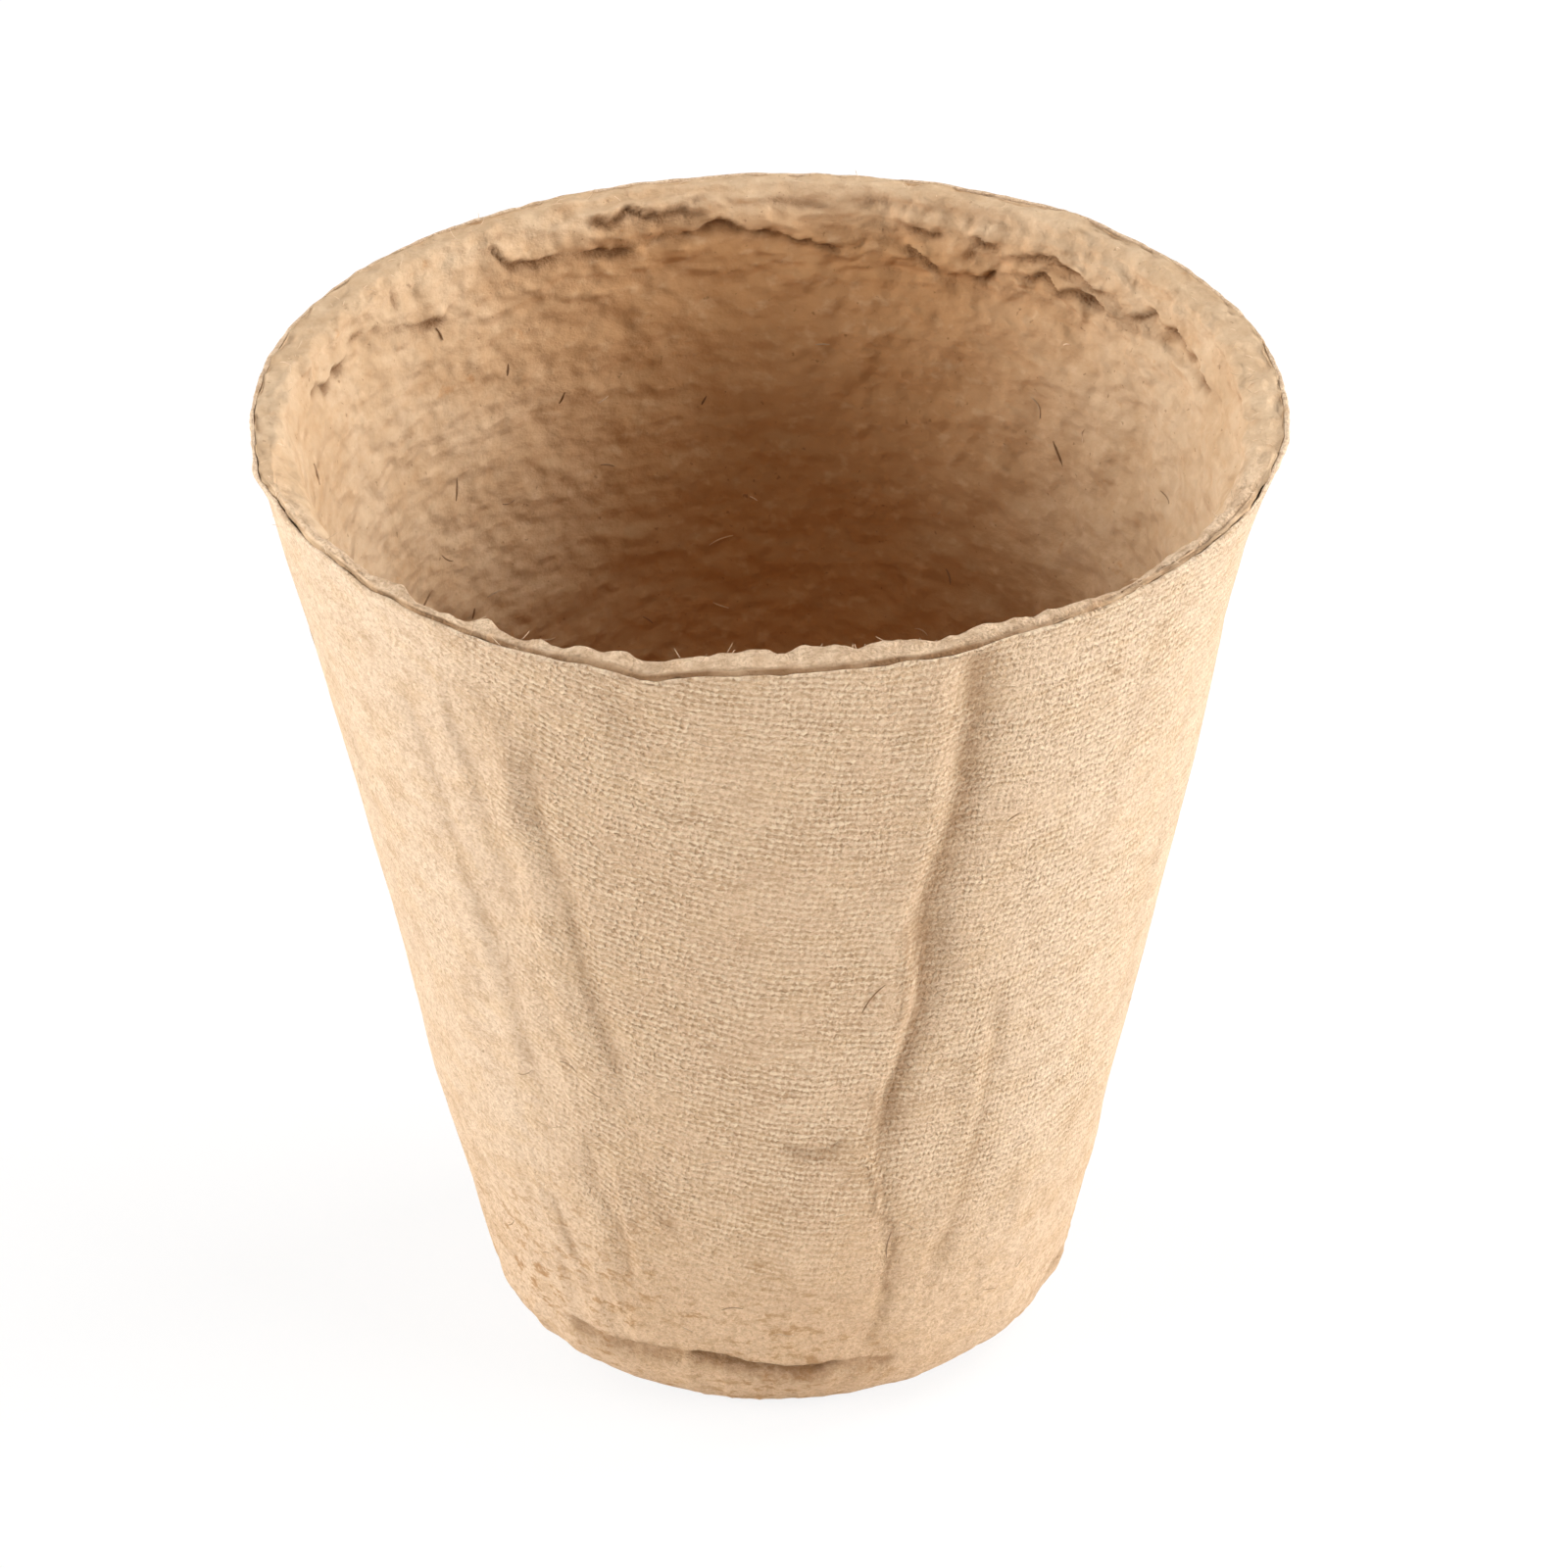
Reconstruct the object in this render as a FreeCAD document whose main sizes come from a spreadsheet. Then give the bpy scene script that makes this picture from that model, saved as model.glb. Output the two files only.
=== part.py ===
import FreeCAD, Part
import math
import os
import Sketcher

# A round moulded pot of peat and wood fibre, modelled as its two plies. The origin is at the middle of the
# underside, +Z is up, and the side with the two long wall creases faces -Y. Lengths are in millimetres.
SIZES = {
    "rim_radius": 40.0,
    "pot_height": 80.0,
    "base_radius": 22.5,
    "heel_radius": 6.4,
    "flare_height": 12.0,
    "flare_proud": 0.45,
    "outer_wall": 0.9,
    "inner_wall": 1.5,
    "ply_gap": 0.05,
    "rim_band": 2.7,
    "skin_edge": 0.45,
    "split_depth": 1.3,
    "split_width": 0.6,
    "lip_radius": 36.8,
    "lip_height": 1.1,
    "lip_tear": 1.6,
    "drain_radius": 4.0,
    "crease_radius": 2.4,
    "crease_depth": 0.45,
    "ridge_radius": 5.0,
    "ridge_height": 0.35,
    "fold_radius": 0.8,
    "fold_depth": 0.4,
    "fold_height": 6.2,
    "flap_band": 5.0,
    "flap_height": 3.0,
    "flap_proud": 0.45,
    "overrun": 5.0,
}

# Creases and ridges of the wall: name, then azimuth in degrees and height as a share of the pot's, at the lower and
# at the upper end. Each thins out over TAPER_SHARE of its half length.
CREASE_SHARES = (
    ("crease_right_top", -69.2, 0.68, -66.4, 0.94),
    ("crease_right_middle", -72.2, 0.44, -68.8, 0.74),
    ("crease_right_turn", -75.4, 0.33, -71.8, 0.50),
    ("crease_right_low", -70.0, 0.12, -74.8, 0.40),
    ("crease_left_top", -118.2, 0.60, -119.4, 0.87),
    ("crease_left_low", -113.8, 0.42, -118.0, 0.66),
)
RIDGE_SHARES = (
    ("ridge_right_top", -73.2, 0.66, -71.2, 0.94),
    ("ridge_right_low", -62.0, 0.22, -59.6, 0.50),
    ("ridge_left_top", -123.8, 0.54, -122.0, 0.85),
    ("ridge_left_low", -117.0, 0.24, -121.4, 0.41),
)
TAPER_SHARE = 0.6

# The undercut fold above the foot, in degrees of azimuth.
FOLD_START = -134.0
FOLD_SWEEP = 58.0

# Torn flaps inside the rim: name, start and sweep in degrees, drop of the torn edge as a share of the flap band.
FLAP_SHARES = (
    ("flap_right", 34.0, 13.0, 0.90),
    ("flap_right_low", 46.0, 19.0, 1.06),
    ("flap_back_right", 70.0, 16.0, 0.84),
    ("flap_back", 85.5, 15.0, 0.70),
    ("flap_back_left", 99.0, 15.0, 0.94),
    ("flap_left_high", 113.5, 12.0, 0.76),
    ("flap_left", 125.0, 21.0, 0.90),
)

# The torn inner edge of the lip is a chain of shallow arcs. Each row is the azimuth of a notch between two lobes, how
# far the notch is torn outwards as a share of lip_tear, and the radius of the lobe after it as a share of its chord.
LIP_SHARES = (
    (-172.0, 0.45, 2.6),
    (-157.0, 0.95, 2.2),
    (-141.0, 0.90, 1.6),
    (-132.0, 1.00, 2.4),
    (-121.0, 0.95, 2.6),
    (-108.5, 0.90, 2.4),
    (-97.0, 0.70, 1.8),
    (-88.7, 0.40, 1.5),
    (-80.0, 0.35, 1.8),
    (-71.0, 0.30, 2.0),
    (-59.8, 0.40, 2.4),
    (-50.0, 0.65, 2.0),
    (-38.0, 0.95, 2.4),
    (-24.5, 0.85, 2.2),
    (-9.0, 0.35, 2.6),
    (8.5, 0.25, 2.4),
    (24.0, 0.50, 2.0),
    (36.0, 0.35, 2.2),
    (51.0, 0.65, 2.4),
    (66.0, 0.45, 2.0),
    (80.0, 0.60, 1.8),
    (93.0, 0.35, 2.2),
    (104.0, 0.65, 2.4),
    (120.0, 0.40, 2.6),
    (138.0, 0.55, 2.4),
    (156.0, 0.25, 2.6),
    (172.0, 0.50, 2.4),
)


# How far the torn face of the lip leans back from upright, in degrees.
LIP_LEAN = 20.0


def size(name):
    return f"Sizes.{name}"


# Places worked out from the driving sizes, as expressions. The offset of a face is how far it lies inside the skin,
# along the radius at the wall and upwards at the floor. The skin flares a little past the straight wall at the rim.
ZERO = "0"
HEIGHT = size("pot_height")
SLOPE = f"(({size('rim_radius')} - {size('flare_proud')} - {size('base_radius')}) / {HEIGHT})"
SECANT = f"sqrt(1 + {SLOPE} ^ 2)"
NECK_HEIGHT = f"({HEIGHT} - {size('flare_height')})"
SPLIT_OUT = size("outer_wall")
SPLIT_IN = f"({size('outer_wall')} + {size('ply_gap')})"
INSIDE = f"({size('outer_wall')} + {size('ply_gap')} + {size('inner_wall')})"
SPLIT_FOOT = f"({HEIGHT} - {size('split_depth')})"
UNDER_LIP = f"({HEIGHT} - {size('lip_height')})"
ABOVE = f"({HEIGHT} + {size('overrun')})"

# Inside the heel the faces run straight across the corner. Each leg is this share of the bend's radius there.
LEG_SHARE = 0.45


def wall_radius(height, offset=ZERO):
    return f"({size('base_radius')} + {SLOPE} * {height} - {offset})"


def room_radius(height):
    """The room's wall, straight from the corner at the floor to the band's inner edge at the rim."""
    corner = f"({size('base_radius')} - {INSIDE})"
    mouth = f"({size('rim_radius')} - {size('rim_band')})"
    return f"({corner} + ({mouth} - {corner}) / {HEIGHT} * {height})"


class Outline:
    """A closed outline in a sketch, point by point, each held at a place written as expressions."""

    def __init__(self, sketch):
        self.sketch = sketch
        self.steps = []

    def line(self, across, up):
        """A straight edge from the last point to this one."""
        self.steps.append((across, up, None, 0))

    def arc(self, across, up, radius, side):
        """A shallow arc to this point; side is 1 where it bulges to the right of its run, -1 to the left."""
        self.steps.append((across, up, radius, side))

    def value(self, text):
        number = self.sketch.evalExpression(text)
        return float(getattr(number, "Value", number))

    def point(self, step):
        return FreeCAD.Vector(self.value(step[0]), self.value(step[1]), 0)

    def close(self):
        for index, step in enumerate(self.steps):
            start = self.point(self.steps[index - 1])
            self.sketch.addGeometry(self.edge(start, step), False)
        for index in range(len(self.steps)):
            self.join(index - 1, index)
        for index, step in enumerate(self.steps):
            self.hold(index, step)

    def edge(self, start, step):
        end = self.point(step)
        if step[2] is None:
            return Part.LineSegment(start, end)
        radius = self.value(step[2])
        chord = end - start
        sagitta = radius - math.sqrt(radius ** 2 - (chord.Length / 2) ** 2)
        across = FreeCAD.Vector(chord.y, -chord.x, 0).normalize() * step[3]
        return Part.Arc(start, start + chord * 0.5 + across * sagitta, end)

    def ends(self, index):
        """Vertex numbers of an edge's start and end, which are the other way round on a clockwise arc."""
        if self.steps[index][3] == -1:
            return 2, 1
        return 1, 2

    def join(self, index, following):
        count = len(self.steps)
        places = (index % count, self.ends(index)[1], following, self.ends(following)[0])
        self.sketch.addConstraint(Sketcher.Constraint("Coincident", *places))

    def hold(self, index, step):
        end = self.ends(index)[1]
        for kind, text, axis in (("DistanceX", step[0], -2), ("DistanceY", step[1], -1)):
            if text == ZERO:
                self.sketch.addConstraint(Sketcher.Constraint("PointOnObject", index, end, axis))
            else:
                self.bind(kind, (-1, 1, index, end), text)
        if step[2] is not None:
            self.bind("Radius", (index,), step[2])

    def bind(self, kind, places, text):
        number = self.sketch.addConstraint(Sketcher.Constraint(kind, *places, self.value(text)))
        self.sketch.setExpression(f"Constraints[{number}]", text)


def add_sheet(doc):
    sheet = doc.addObject("Spreadsheet::Sheet", "Sizes")
    for row, (name, length) in enumerate(SIZES.items(), start=1):
        sheet.set(f"A{row}", name)
        sheet.set(f"B{row}", str(length))
        sheet.setAlias(f"B{row}", name)
    doc.recompute()


def add_sketch(body, name, role, azimuth=0.0):
    """A sketch on an origin plane of its body; an upright one can be turned about the pot's axis, in degrees."""
    sketch = body.newObject("Sketcher::SketchObject", name)
    support = [item for item in body.Origin.OriginFeatures if item.Role == role]
    sketch.AttachmentSupport = [(support[0], "")]
    sketch.MapMode = "FlatFace"
    turn = FreeCAD.Rotation(FreeCAD.Vector(0, 1, 0), azimuth)
    sketch.AttachmentOffset = FreeCAD.Placement(FreeCAD.Vector(), turn)
    return sketch


def add_circle(sketch, across, up, radius):
    outline = Outline(sketch)
    centre = outline.point((across, up))
    circle = Part.Circle(centre, FreeCAD.Vector(0, 0, 1), outline.value(radius))
    index = sketch.addGeometry(circle, False)
    if across == ZERO:
        sketch.addConstraint(Sketcher.Constraint("Coincident", index, 3, -1, 1))
    else:
        outline.bind("DistanceX", (-1, 1, index, 3), across)
        outline.bind("DistanceY", (-1, 1, index, 3), up)
    outline.bind("Radius", (index,), radius)


def add_feature(body, kind, name, sketch, **settings):
    feature = body.newObject(kind, name)
    feature.Profile = sketch
    for key, setting in settings.items():
        setattr(feature, key, setting)
    return feature


def turn_about_axis(body, kind, name, sketch, sweep=360.0):
    return add_feature(body, kind, name, sketch, ReferenceAxis=(sketch, ["V_Axis"]), Angle=sweep)


def skin_profile(body):
    """The pot's outer shape as a solid, up to the rim: floor, round heel, straight wall and flare."""
    sketch = add_sketch(body, "skin_profile", "XZ_Plane")
    outline = Outline(sketch)
    bend = size("heel_radius")
    foot = f"({size('base_radius')} + {bend} * ({SLOPE} - {SECANT}))"
    outline.line(ZERO, ZERO)
    outline.line(foot, ZERO)
    outline.arc(f"({foot} + {bend} / {SECANT})", f"({bend} - {bend} * {SLOPE} / {SECANT})", bend, 1)
    outline.line(wall_radius(NECK_HEIGHT), NECK_HEIGHT)
    outline.line(size("rim_radius"), HEIGHT)
    outline.line(ZERO, HEIGHT)
    outline.close()
    return sketch


def inside_profile(body, name, offset, radius_at, upper_points):
    """A shape inside the pot: floor, straight heel and wall, then its upper points and back to the axis."""
    sketch = add_sketch(body, name, "XZ_Plane")
    outline = Outline(sketch)
    leg = f"(({size('heel_radius')} - {offset}) * {LEG_SHARE})"
    above_leg = f"({offset} + {leg})"
    outline.line(ZERO, offset)
    outline.line(f"({radius_at(offset)} - {leg})", offset)
    outline.line(radius_at(above_leg), above_leg)
    for across, up in upper_points:
        outline.line(across, up)
    outline.line(ZERO, upper_points[-1][1])
    outline.close()
    return sketch


def hollow_profile(body):
    """What the skin encloses. At the rim it steps out to the skin's thin edge, as the outer side of the open split."""
    edge = f"({size('rim_radius')} - {size('skin_edge')})"
    face = wall_radius(SPLIT_FOOT, SPLIT_OUT)
    points = ((face, SPLIT_FOOT), (edge, SPLIT_FOOT), (edge, ABOVE))
    return inside_profile(body, "hollow_profile", SPLIT_OUT, lambda up: wall_radius(up, SPLIT_OUT), points)


def felt_profile(body):
    """The inner ply's outer shape, which leans out at the rim towards the split."""
    edge = f"({size('rim_radius')} - {size('skin_edge')} - {size('split_width')})"
    points = ((wall_radius(SPLIT_FOOT, SPLIT_IN), SPLIT_FOOT), (edge, HEIGHT))
    return inside_profile(body, "felt_profile", SPLIT_IN, lambda up: wall_radius(up, SPLIT_IN), points)


def room_profile(body):
    """The room inside the pot, up to the underside of the lip."""
    points = ((room_radius(UNDER_LIP), UNDER_LIP),)
    return inside_profile(body, "room_profile", INSIDE, room_radius, points)


def add_roller(body, kind, name, low, high, radius, depth, side):
    """A roller with tapered ends lies along the wall, its belly past the skin by a depth: outside it cuts a crease,
    with a side of 1, and inside it raises a ridge, with a side of -1. Ends are azimuth and share of the height.
    """
    middle = f"({HEIGHT} * {(low[1] + high[1]) / 2})"
    sketch = add_sketch(body, f"{name}_section", "XZ_Plane", (low[0] + high[0]) / 2)
    outline = Outline(sketch)
    round_share = outline.value(f"{wall_radius(middle)} / {HEIGHT}")
    lean = math.atan2(round_share * math.radians(high[0] - low[0]), high[1] - low[1])
    turn = FreeCAD.Rotation(FreeCAD.Vector(1, 0, 0), -math.degrees(lean))
    sketch.AttachmentOffset = sketch.AttachmentOffset * FreeCAD.Placement(FreeCAD.Vector(), turn)
    sketch.setExpression("AttachmentOffset.Base.y", middle)
    half = f"({HEIGHT} * {(high[1] - low[1]) / 2 / math.cos(lean)})"
    thin = f"({radius} - {depth})"
    full = 1 - TAPER_SHARE
    for share, around in ((-1, ZERO), (-1, thin), (-full, radius), (full, radius), (1, thin), (1, ZERO)):
        along = f"({half} * {share})"
        axis_radius = f"({wall_radius(f'({middle} + {along})')} + {side} * {thin})"
        outline.line(f"({axis_radius} + {around} / {SECANT})", f"({along} - {around} * {SLOPE} / {SECANT})")
    outline.close()
    ends = (outline.point(outline.steps[-1]), outline.point(outline.steps[0]))
    axis = sketch.addGeometry(Part.LineSegment(*ends), True)
    for end in (1, 2):
        sketch.addConstraint(Sketcher.Constraint("Coincident", axis, end, 0, end))
    add_feature(body, kind, name, sketch, ReferenceAxis=(sketch, ["Axis0"]), Angle=360.0)


def add_creases(body):
    """Long soft valleys and the low ridges beside them, where the wet pulp creased against the mould's cloth."""
    for name, *ends in RIDGE_SHARES:
        place = (name, ends[:2], ends[2:], size("ridge_radius"), size("ridge_height"), -1)
        add_roller(body, "PartDesign::Revolution", *place)
    for name, *ends in CREASE_SHARES:
        place = (name, ends[:2], ends[2:], size("crease_radius"), size("crease_depth"), 1)
        add_roller(body, "PartDesign::Groove", *place)


def add_fold(body):
    """The undercut fold round the front of the heel."""
    sketch = add_sketch(body, "fold_section", "XZ_Plane", FOLD_START)
    centre = f"({wall_radius(size('fold_height'))} + {size('fold_radius')} - {size('fold_depth')})"
    add_circle(sketch, centre, size("fold_height"), size("fold_radius"))
    turn_about_axis(body, "PartDesign::Groove", "heel_fold", sketch, FOLD_SWEEP)


def add_flaps(body):
    """Torn flaps that hang inside the rim: thin above, proud of the wall at their torn lower edge."""
    embedded = f"{size('inner_wall')} / 2"
    for name, start, sweep, share in FLAP_SHARES:
        sketch = add_sketch(body, f"{name}_section", "XZ_Plane", start)
        outline = Outline(sketch)
        low = f"({HEIGHT} - {size('flap_band')} * {share})"
        high = f"({low} + {size('flap_height')})"
        outline.line(f"({room_radius(low)} - {size('flap_proud')})", low)
        outline.line(f"({room_radius(low)} + {embedded})", low)
        outline.line(f"({room_radius(high)} + {embedded})", high)
        outline.line(room_radius(high), high)
        outline.close()
        turn_about_axis(body, "PartDesign::Revolution", name, sketch, sweep)


def add_torn_lip(body):
    """The lip's torn inner edge: a pocket through the lip, whose outline is a chain of lobes between notches."""
    sketch = add_sketch(body, "lip_edge", "XY_Plane")
    sketch.setExpression("AttachmentOffset.Base.z", HEIGHT)
    outline = Outline(sketch)
    for index, (azimuth, tear_share, _) in enumerate(LIP_SHARES):
        before, _, bend_share = LIP_SHARES[index - 1]
        turn = math.radians((azimuth - before) % 360)
        bend = f"({size('lip_radius')} * {2 * math.sin(turn / 2) * bend_share})"
        reach = f"({size('lip_radius')} + {size('lip_tear')} * {tear_share})"
        angle = math.radians(azimuth)
        outline.arc(f"({reach} * {math.cos(angle)})", f"({reach} * {math.sin(angle)})", bend, -1)
    outline.close()
    lip = add_feature(body, "PartDesign::Pocket", "torn_lip", sketch, TaperAngle=-LIP_LEAN)
    lip.setExpression("Length", size("lip_height"))


def add_drain(body):
    """The drain hole in the middle of the floor."""
    sketch = add_sketch(body, "drain_outline", "XY_Plane")
    add_circle(sketch, ZERO, ZERO, size("drain_radius"))
    drain = add_feature(body, "PartDesign::Pocket", "drain_hole", sketch, Reversed=True)
    drain.setExpression("Length", f"{size('overrun')} + {INSIDE}")


def add_ply(doc, name):
    body = doc.addObject("PartDesign::Body", name)
    body.Label = name
    body.Placement = FreeCAD.Placement()
    return body


def add_outer_ply(doc):
    """The dense outer skin, pressed against the cloth of the mould."""
    body = add_ply(doc, "outer_ply")
    turn_about_axis(body, "PartDesign::Revolution", "skin", skin_profile(body))
    add_creases(body)
    add_fold(body)
    turn_about_axis(body, "PartDesign::Groove", "hollow", hollow_profile(body))
    add_drain(body)
    return body


def add_inner_ply(doc):
    """The coarse felted ply inside the skin, with the torn lip."""
    body = add_ply(doc, "inner_ply")
    turn_about_axis(body, "PartDesign::Revolution", "felt", felt_profile(body))
    turn_about_axis(body, "PartDesign::Groove", "room", room_profile(body))
    add_flaps(body)
    add_torn_lip(body)
    add_drain(body)
    return body


def check(doc):
    """Every object is sound, and every feature changes the solid that it works on."""
    for item in doc.Objects:
        if {"Invalid", "Error"} & set(item.State):
            raise ValueError(f"{item.FullName}: {item.State}")
        if item.isDerivedFrom("PartDesign::Feature") and item.BaseFeature:
            before = item.BaseFeature.Shape.Volume
            if math.isclose(before, item.Shape.Volume, rel_tol=1e-7):
                raise ValueError(f"{item.FullName}: changes nothing")


def export(bodies):
    os.makedirs("parts", exist_ok=True)
    for body in bodies:
        shape = body.Shape
        if shape.isNull() or not shape.isValid() or len(shape.Solids) != 1:
            raise ValueError(f"{body.Label}: not one valid solid")
        shape.exportStep(f"parts/{body.Label}.step")
        print(body.Label, f"{shape.Volume:.1f} mm3")


def main():
    doc = FreeCAD.newDocument("peat_pot")
    add_sheet(doc)
    bodies = [add_outer_ply(doc), add_inner_ply(doc)]
    doc.recompute()
    check(doc)
    export(bodies)


main()
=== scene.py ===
import math

import bpy
import numpy as np
from mathutils import Matrix, Vector


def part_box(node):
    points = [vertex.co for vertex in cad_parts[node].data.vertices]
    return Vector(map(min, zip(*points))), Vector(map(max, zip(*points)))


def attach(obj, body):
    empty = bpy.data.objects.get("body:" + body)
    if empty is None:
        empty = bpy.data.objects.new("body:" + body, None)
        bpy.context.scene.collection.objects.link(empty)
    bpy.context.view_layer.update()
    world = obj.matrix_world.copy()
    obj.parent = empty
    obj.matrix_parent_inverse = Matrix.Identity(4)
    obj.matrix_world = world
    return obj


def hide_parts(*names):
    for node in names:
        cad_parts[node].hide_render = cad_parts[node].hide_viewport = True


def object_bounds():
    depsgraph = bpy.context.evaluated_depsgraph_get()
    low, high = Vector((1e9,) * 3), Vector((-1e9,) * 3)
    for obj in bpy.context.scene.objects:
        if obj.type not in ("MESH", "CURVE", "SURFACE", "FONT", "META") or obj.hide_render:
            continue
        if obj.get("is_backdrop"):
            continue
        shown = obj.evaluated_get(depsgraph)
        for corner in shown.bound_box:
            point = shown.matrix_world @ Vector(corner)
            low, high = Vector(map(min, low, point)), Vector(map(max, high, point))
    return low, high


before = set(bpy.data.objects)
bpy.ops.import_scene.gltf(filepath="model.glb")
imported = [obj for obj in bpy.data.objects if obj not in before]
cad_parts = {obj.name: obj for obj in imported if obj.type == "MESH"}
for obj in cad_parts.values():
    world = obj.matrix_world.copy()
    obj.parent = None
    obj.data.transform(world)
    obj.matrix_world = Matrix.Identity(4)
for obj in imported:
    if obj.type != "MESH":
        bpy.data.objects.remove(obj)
cad_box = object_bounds()

# Sizes are in millimetres, and MM turns them into Blender's metres. Azimuths are in degrees, counterclockwise
# from +X, so the front of the pot is at -90.
MM = 0.001
RIM_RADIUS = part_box("outer_ply")[1].x / MM
POT_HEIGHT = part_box("outer_ply")[1].z / MM
BASE_RADIUS = 22.45
HEEL_RADIUS = 6.4
OUTER_WALL = 0.9
INNER_WALL = 1.5
PLY_GAP = 0.05
DRAIN_RADIUS = 4.0
# At the rim: thickness of the skin's edge, width of the split where it gapes, how far the lip stands above
# the edge there, and thickness of both plies together.
SKIN_EDGE = 0.42
SPLIT_WIDTH = 0.46
LIP_STEP = 0.24
RIM_BAND = 2.7
# The wall's lean, the flat foot inside the heel, the top of the heel, and the floor of the room.
WALL_SLOPE = (RIM_RADIUS - BASE_RADIUS) / POT_HEIGHT
WALL_LEAN = math.atan(WALL_SLOPE)
FOOT_RADIUS = BASE_RADIUS + HEEL_RADIUS * (WALL_SLOPE - math.hypot(1, WALL_SLOPE))
HEEL_TOP = HEEL_RADIUS * (1 - math.sin(WALL_LEAN))
FLOOR_TOP = OUTER_WALL + PLY_GAP + INNER_WALL
# How high the bend between the room's wall and its floor is, and how far down the felt's finest columns go.
ROOM_BEND = 3.6
FELT_RIM_ZONE = 7.5
# Where the felt's noise is read for height 0, so that it runs on over the floor.
FELT_RUN = 200.0
# The radius at which the cells of the noise have their size.
NOISE_RADIUS = 32
# Arcs of azimuth, each with its ease: where the split gapes, and where the felt is ragged.
GAPING = (-140, -54, 30)
RAGGED = (26, 122, 24)

# Azimuths of the meshes' columns: fine at the rim, coarser on the walls, coarsest where the plies hide.
RIM, WALL, HIDDEN = (np.arange(count) * 360.0 / count - 90.0 for count in (960, 480, 240))

# How far the wall lies outside the straight cone from base to rim, against height, at the left and the right.
HOLLOW_HEIGHTS = (0, 12, 25, 35, 45, 56, 65, 72, 77, 80)
HOLLOW_LEFT = (0, 0, 0, -0.2, -0.2, -0.35, -0.42, -0.28, -0.25, -0.1)
HOLLOW_RIGHT = (0.1, 0.2, 0.2, 0.15, 0.1, -0.12, -0.5, -0.46, -0.3, -0.05)

# Waves of the rim's radius and height: turns per round, then the cosine and sine parts.
RIM_RADIUS_WAVES = ((2, 0.20, 0.02), (3, 0.15, 0.32), (4, 0.15, -0.23))
RIM_HEIGHT_WAVES = ((1, 0.23, 0.07), (2, -0.12, 0.05), (3, 0.05, 0.19))
# Local dips and rises of the rim: azimuth, half width in degrees, rise.
RIM_BUMPS = (
    (-103.5, 4, -0.60), (-84, 8, 0.22), (-64, 4, 0.15), (-146, 5, 0.15), (52, 6, 0.25),
)
# Where the skin's edge stands out: azimuth, half width in degrees, rise outwards.
EDGE_BUMPS = (
    (-169.5, 3.2, 0.42), (-141, 3, 0.15), (-8, 5, 0.20), (-62, 3, -0.25), (118, 9, 0.2),
)

# The lip's torn inner edge: azimuth and radius.
LIP_EDGE = (
    (-177, 37.5), (-168, 38.3), (-159, 38.8), (-155, 38.4), (-148, 38.3), (-143, 38.6), (-140, 38.1),
    (-137.7, 37.3), (-134, 38.2), (-132.6, 38.6), (-127, 38.7), (-125.5, 38.2), (-124, 37.5), (-122.6, 38.2),
    (-121, 38.7), (-116, 38.3), (-111.5, 38.3), (-106, 37.6), (-100.6, 37.5), (-97, 37.7), (-94.5, 37.1),
    (-92.3, 36.7), (-90.6, 36.8), (-88.7, 37.4), (-87.2, 36.8), (-85.8, 36.5), (-82.5, 36.6), (-80, 37.3),
    (-78.5, 36.8), (-77, 36.5), (-73.5, 36.7), (-71, 37.3), (-68.5, 36.8), (-63.8, 36.7), (-59.8, 37.4),
    (-56, 37.1), (-52.4, 38), (-48, 37.9), (-43, 38.5), (-38, 38.3), (-34, 38.6), (-30, 37.9), (-27, 37.8),
    (-25, 38.3), (-19, 38.1), (-12, 37.4), (-4, 37), (8, 36.9), (20, 37.2), (36, 37), (51, 37.5),
    (66, 37.2), (80, 37.5), (93, 37.1), (104, 37.6), (120, 37.2), (138, 37.5), (156, 37.2), (172, 37.4),
)

# Long furrows down the wall: points of azimuth and height, depth, and width to the left and to the right.
WALL_FURROWS = (
    (((-66, 82), (-66.4, 73), (-67.2, 66), (-68.8, 60), (-70, 53), (-70.2, 45)), 0.45, 1.7, 3.2),
    (((-69.4, 56), (-70.1, 49), (-71.3, 41), (-73.8, 35), (-75.2, 30)), 0.50, 0.8, 2.4),
    (((-75, 33), (-74, 27), (-72.2, 21), (-71.4, 15), (-72.3, 8)), 0.22, 0.7, 1.6),
    (((-119.2, 71), (-119.5, 64), (-119, 57), (-118, 49), (-116.2, 42), (-113.8, 34)), 0.26, 0.6, 1.7),
    (((-109.5, 80), (-107, 72)), 0.12, 2, 3),
    (((-121.3, 30), (-121, 24), (-117.3, 20), (-116, 13)), 0.22, 0.8, 1),
    (((-138.2, 72), (-136, 60), (-131, 44), (-128, 30)), 0.18, 1, 1.4),
    (((-130.2, 73), (-128, 62), (-126.2, 52)), 0.16, 0.8, 1.2),
    (((-57, 44), (-56.6, 33), (-58.8, 22), (-62, 14)), 0.22, 1.2, 1.2),
    (((-40, 76), (-41.5, 62), (-44, 50)), 0.10, 1.4, 2.2),
    (((-25, 66), (-22.5, 48), (-21, 30)), 0.08, 1.5, 1.5),
    (((8, 72), (5, 52), (9, 34)), 0.20, 1.6, 3),
    (((38, 66), (42, 45), (40, 20)), 0.20, 1.4, 2.8),
    (((71, 78), (69, 60), (73, 44), (72, 28)), 0.32, 1.3, 3),
    (((108, 60), (111, 40), (107, 16)), 0.22, 1.4, 2.6),
    (((139, 77), (141, 58), (137, 40)), 0.28, 1.2, 2.8),
    (((166, 52), (163, 36), (165, 22)), 0.18, 1.6, 2.2),
    (((-161, 70), (-158, 52), (-160, 34)), 0.08, 1.6, 1.6),
)
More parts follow.
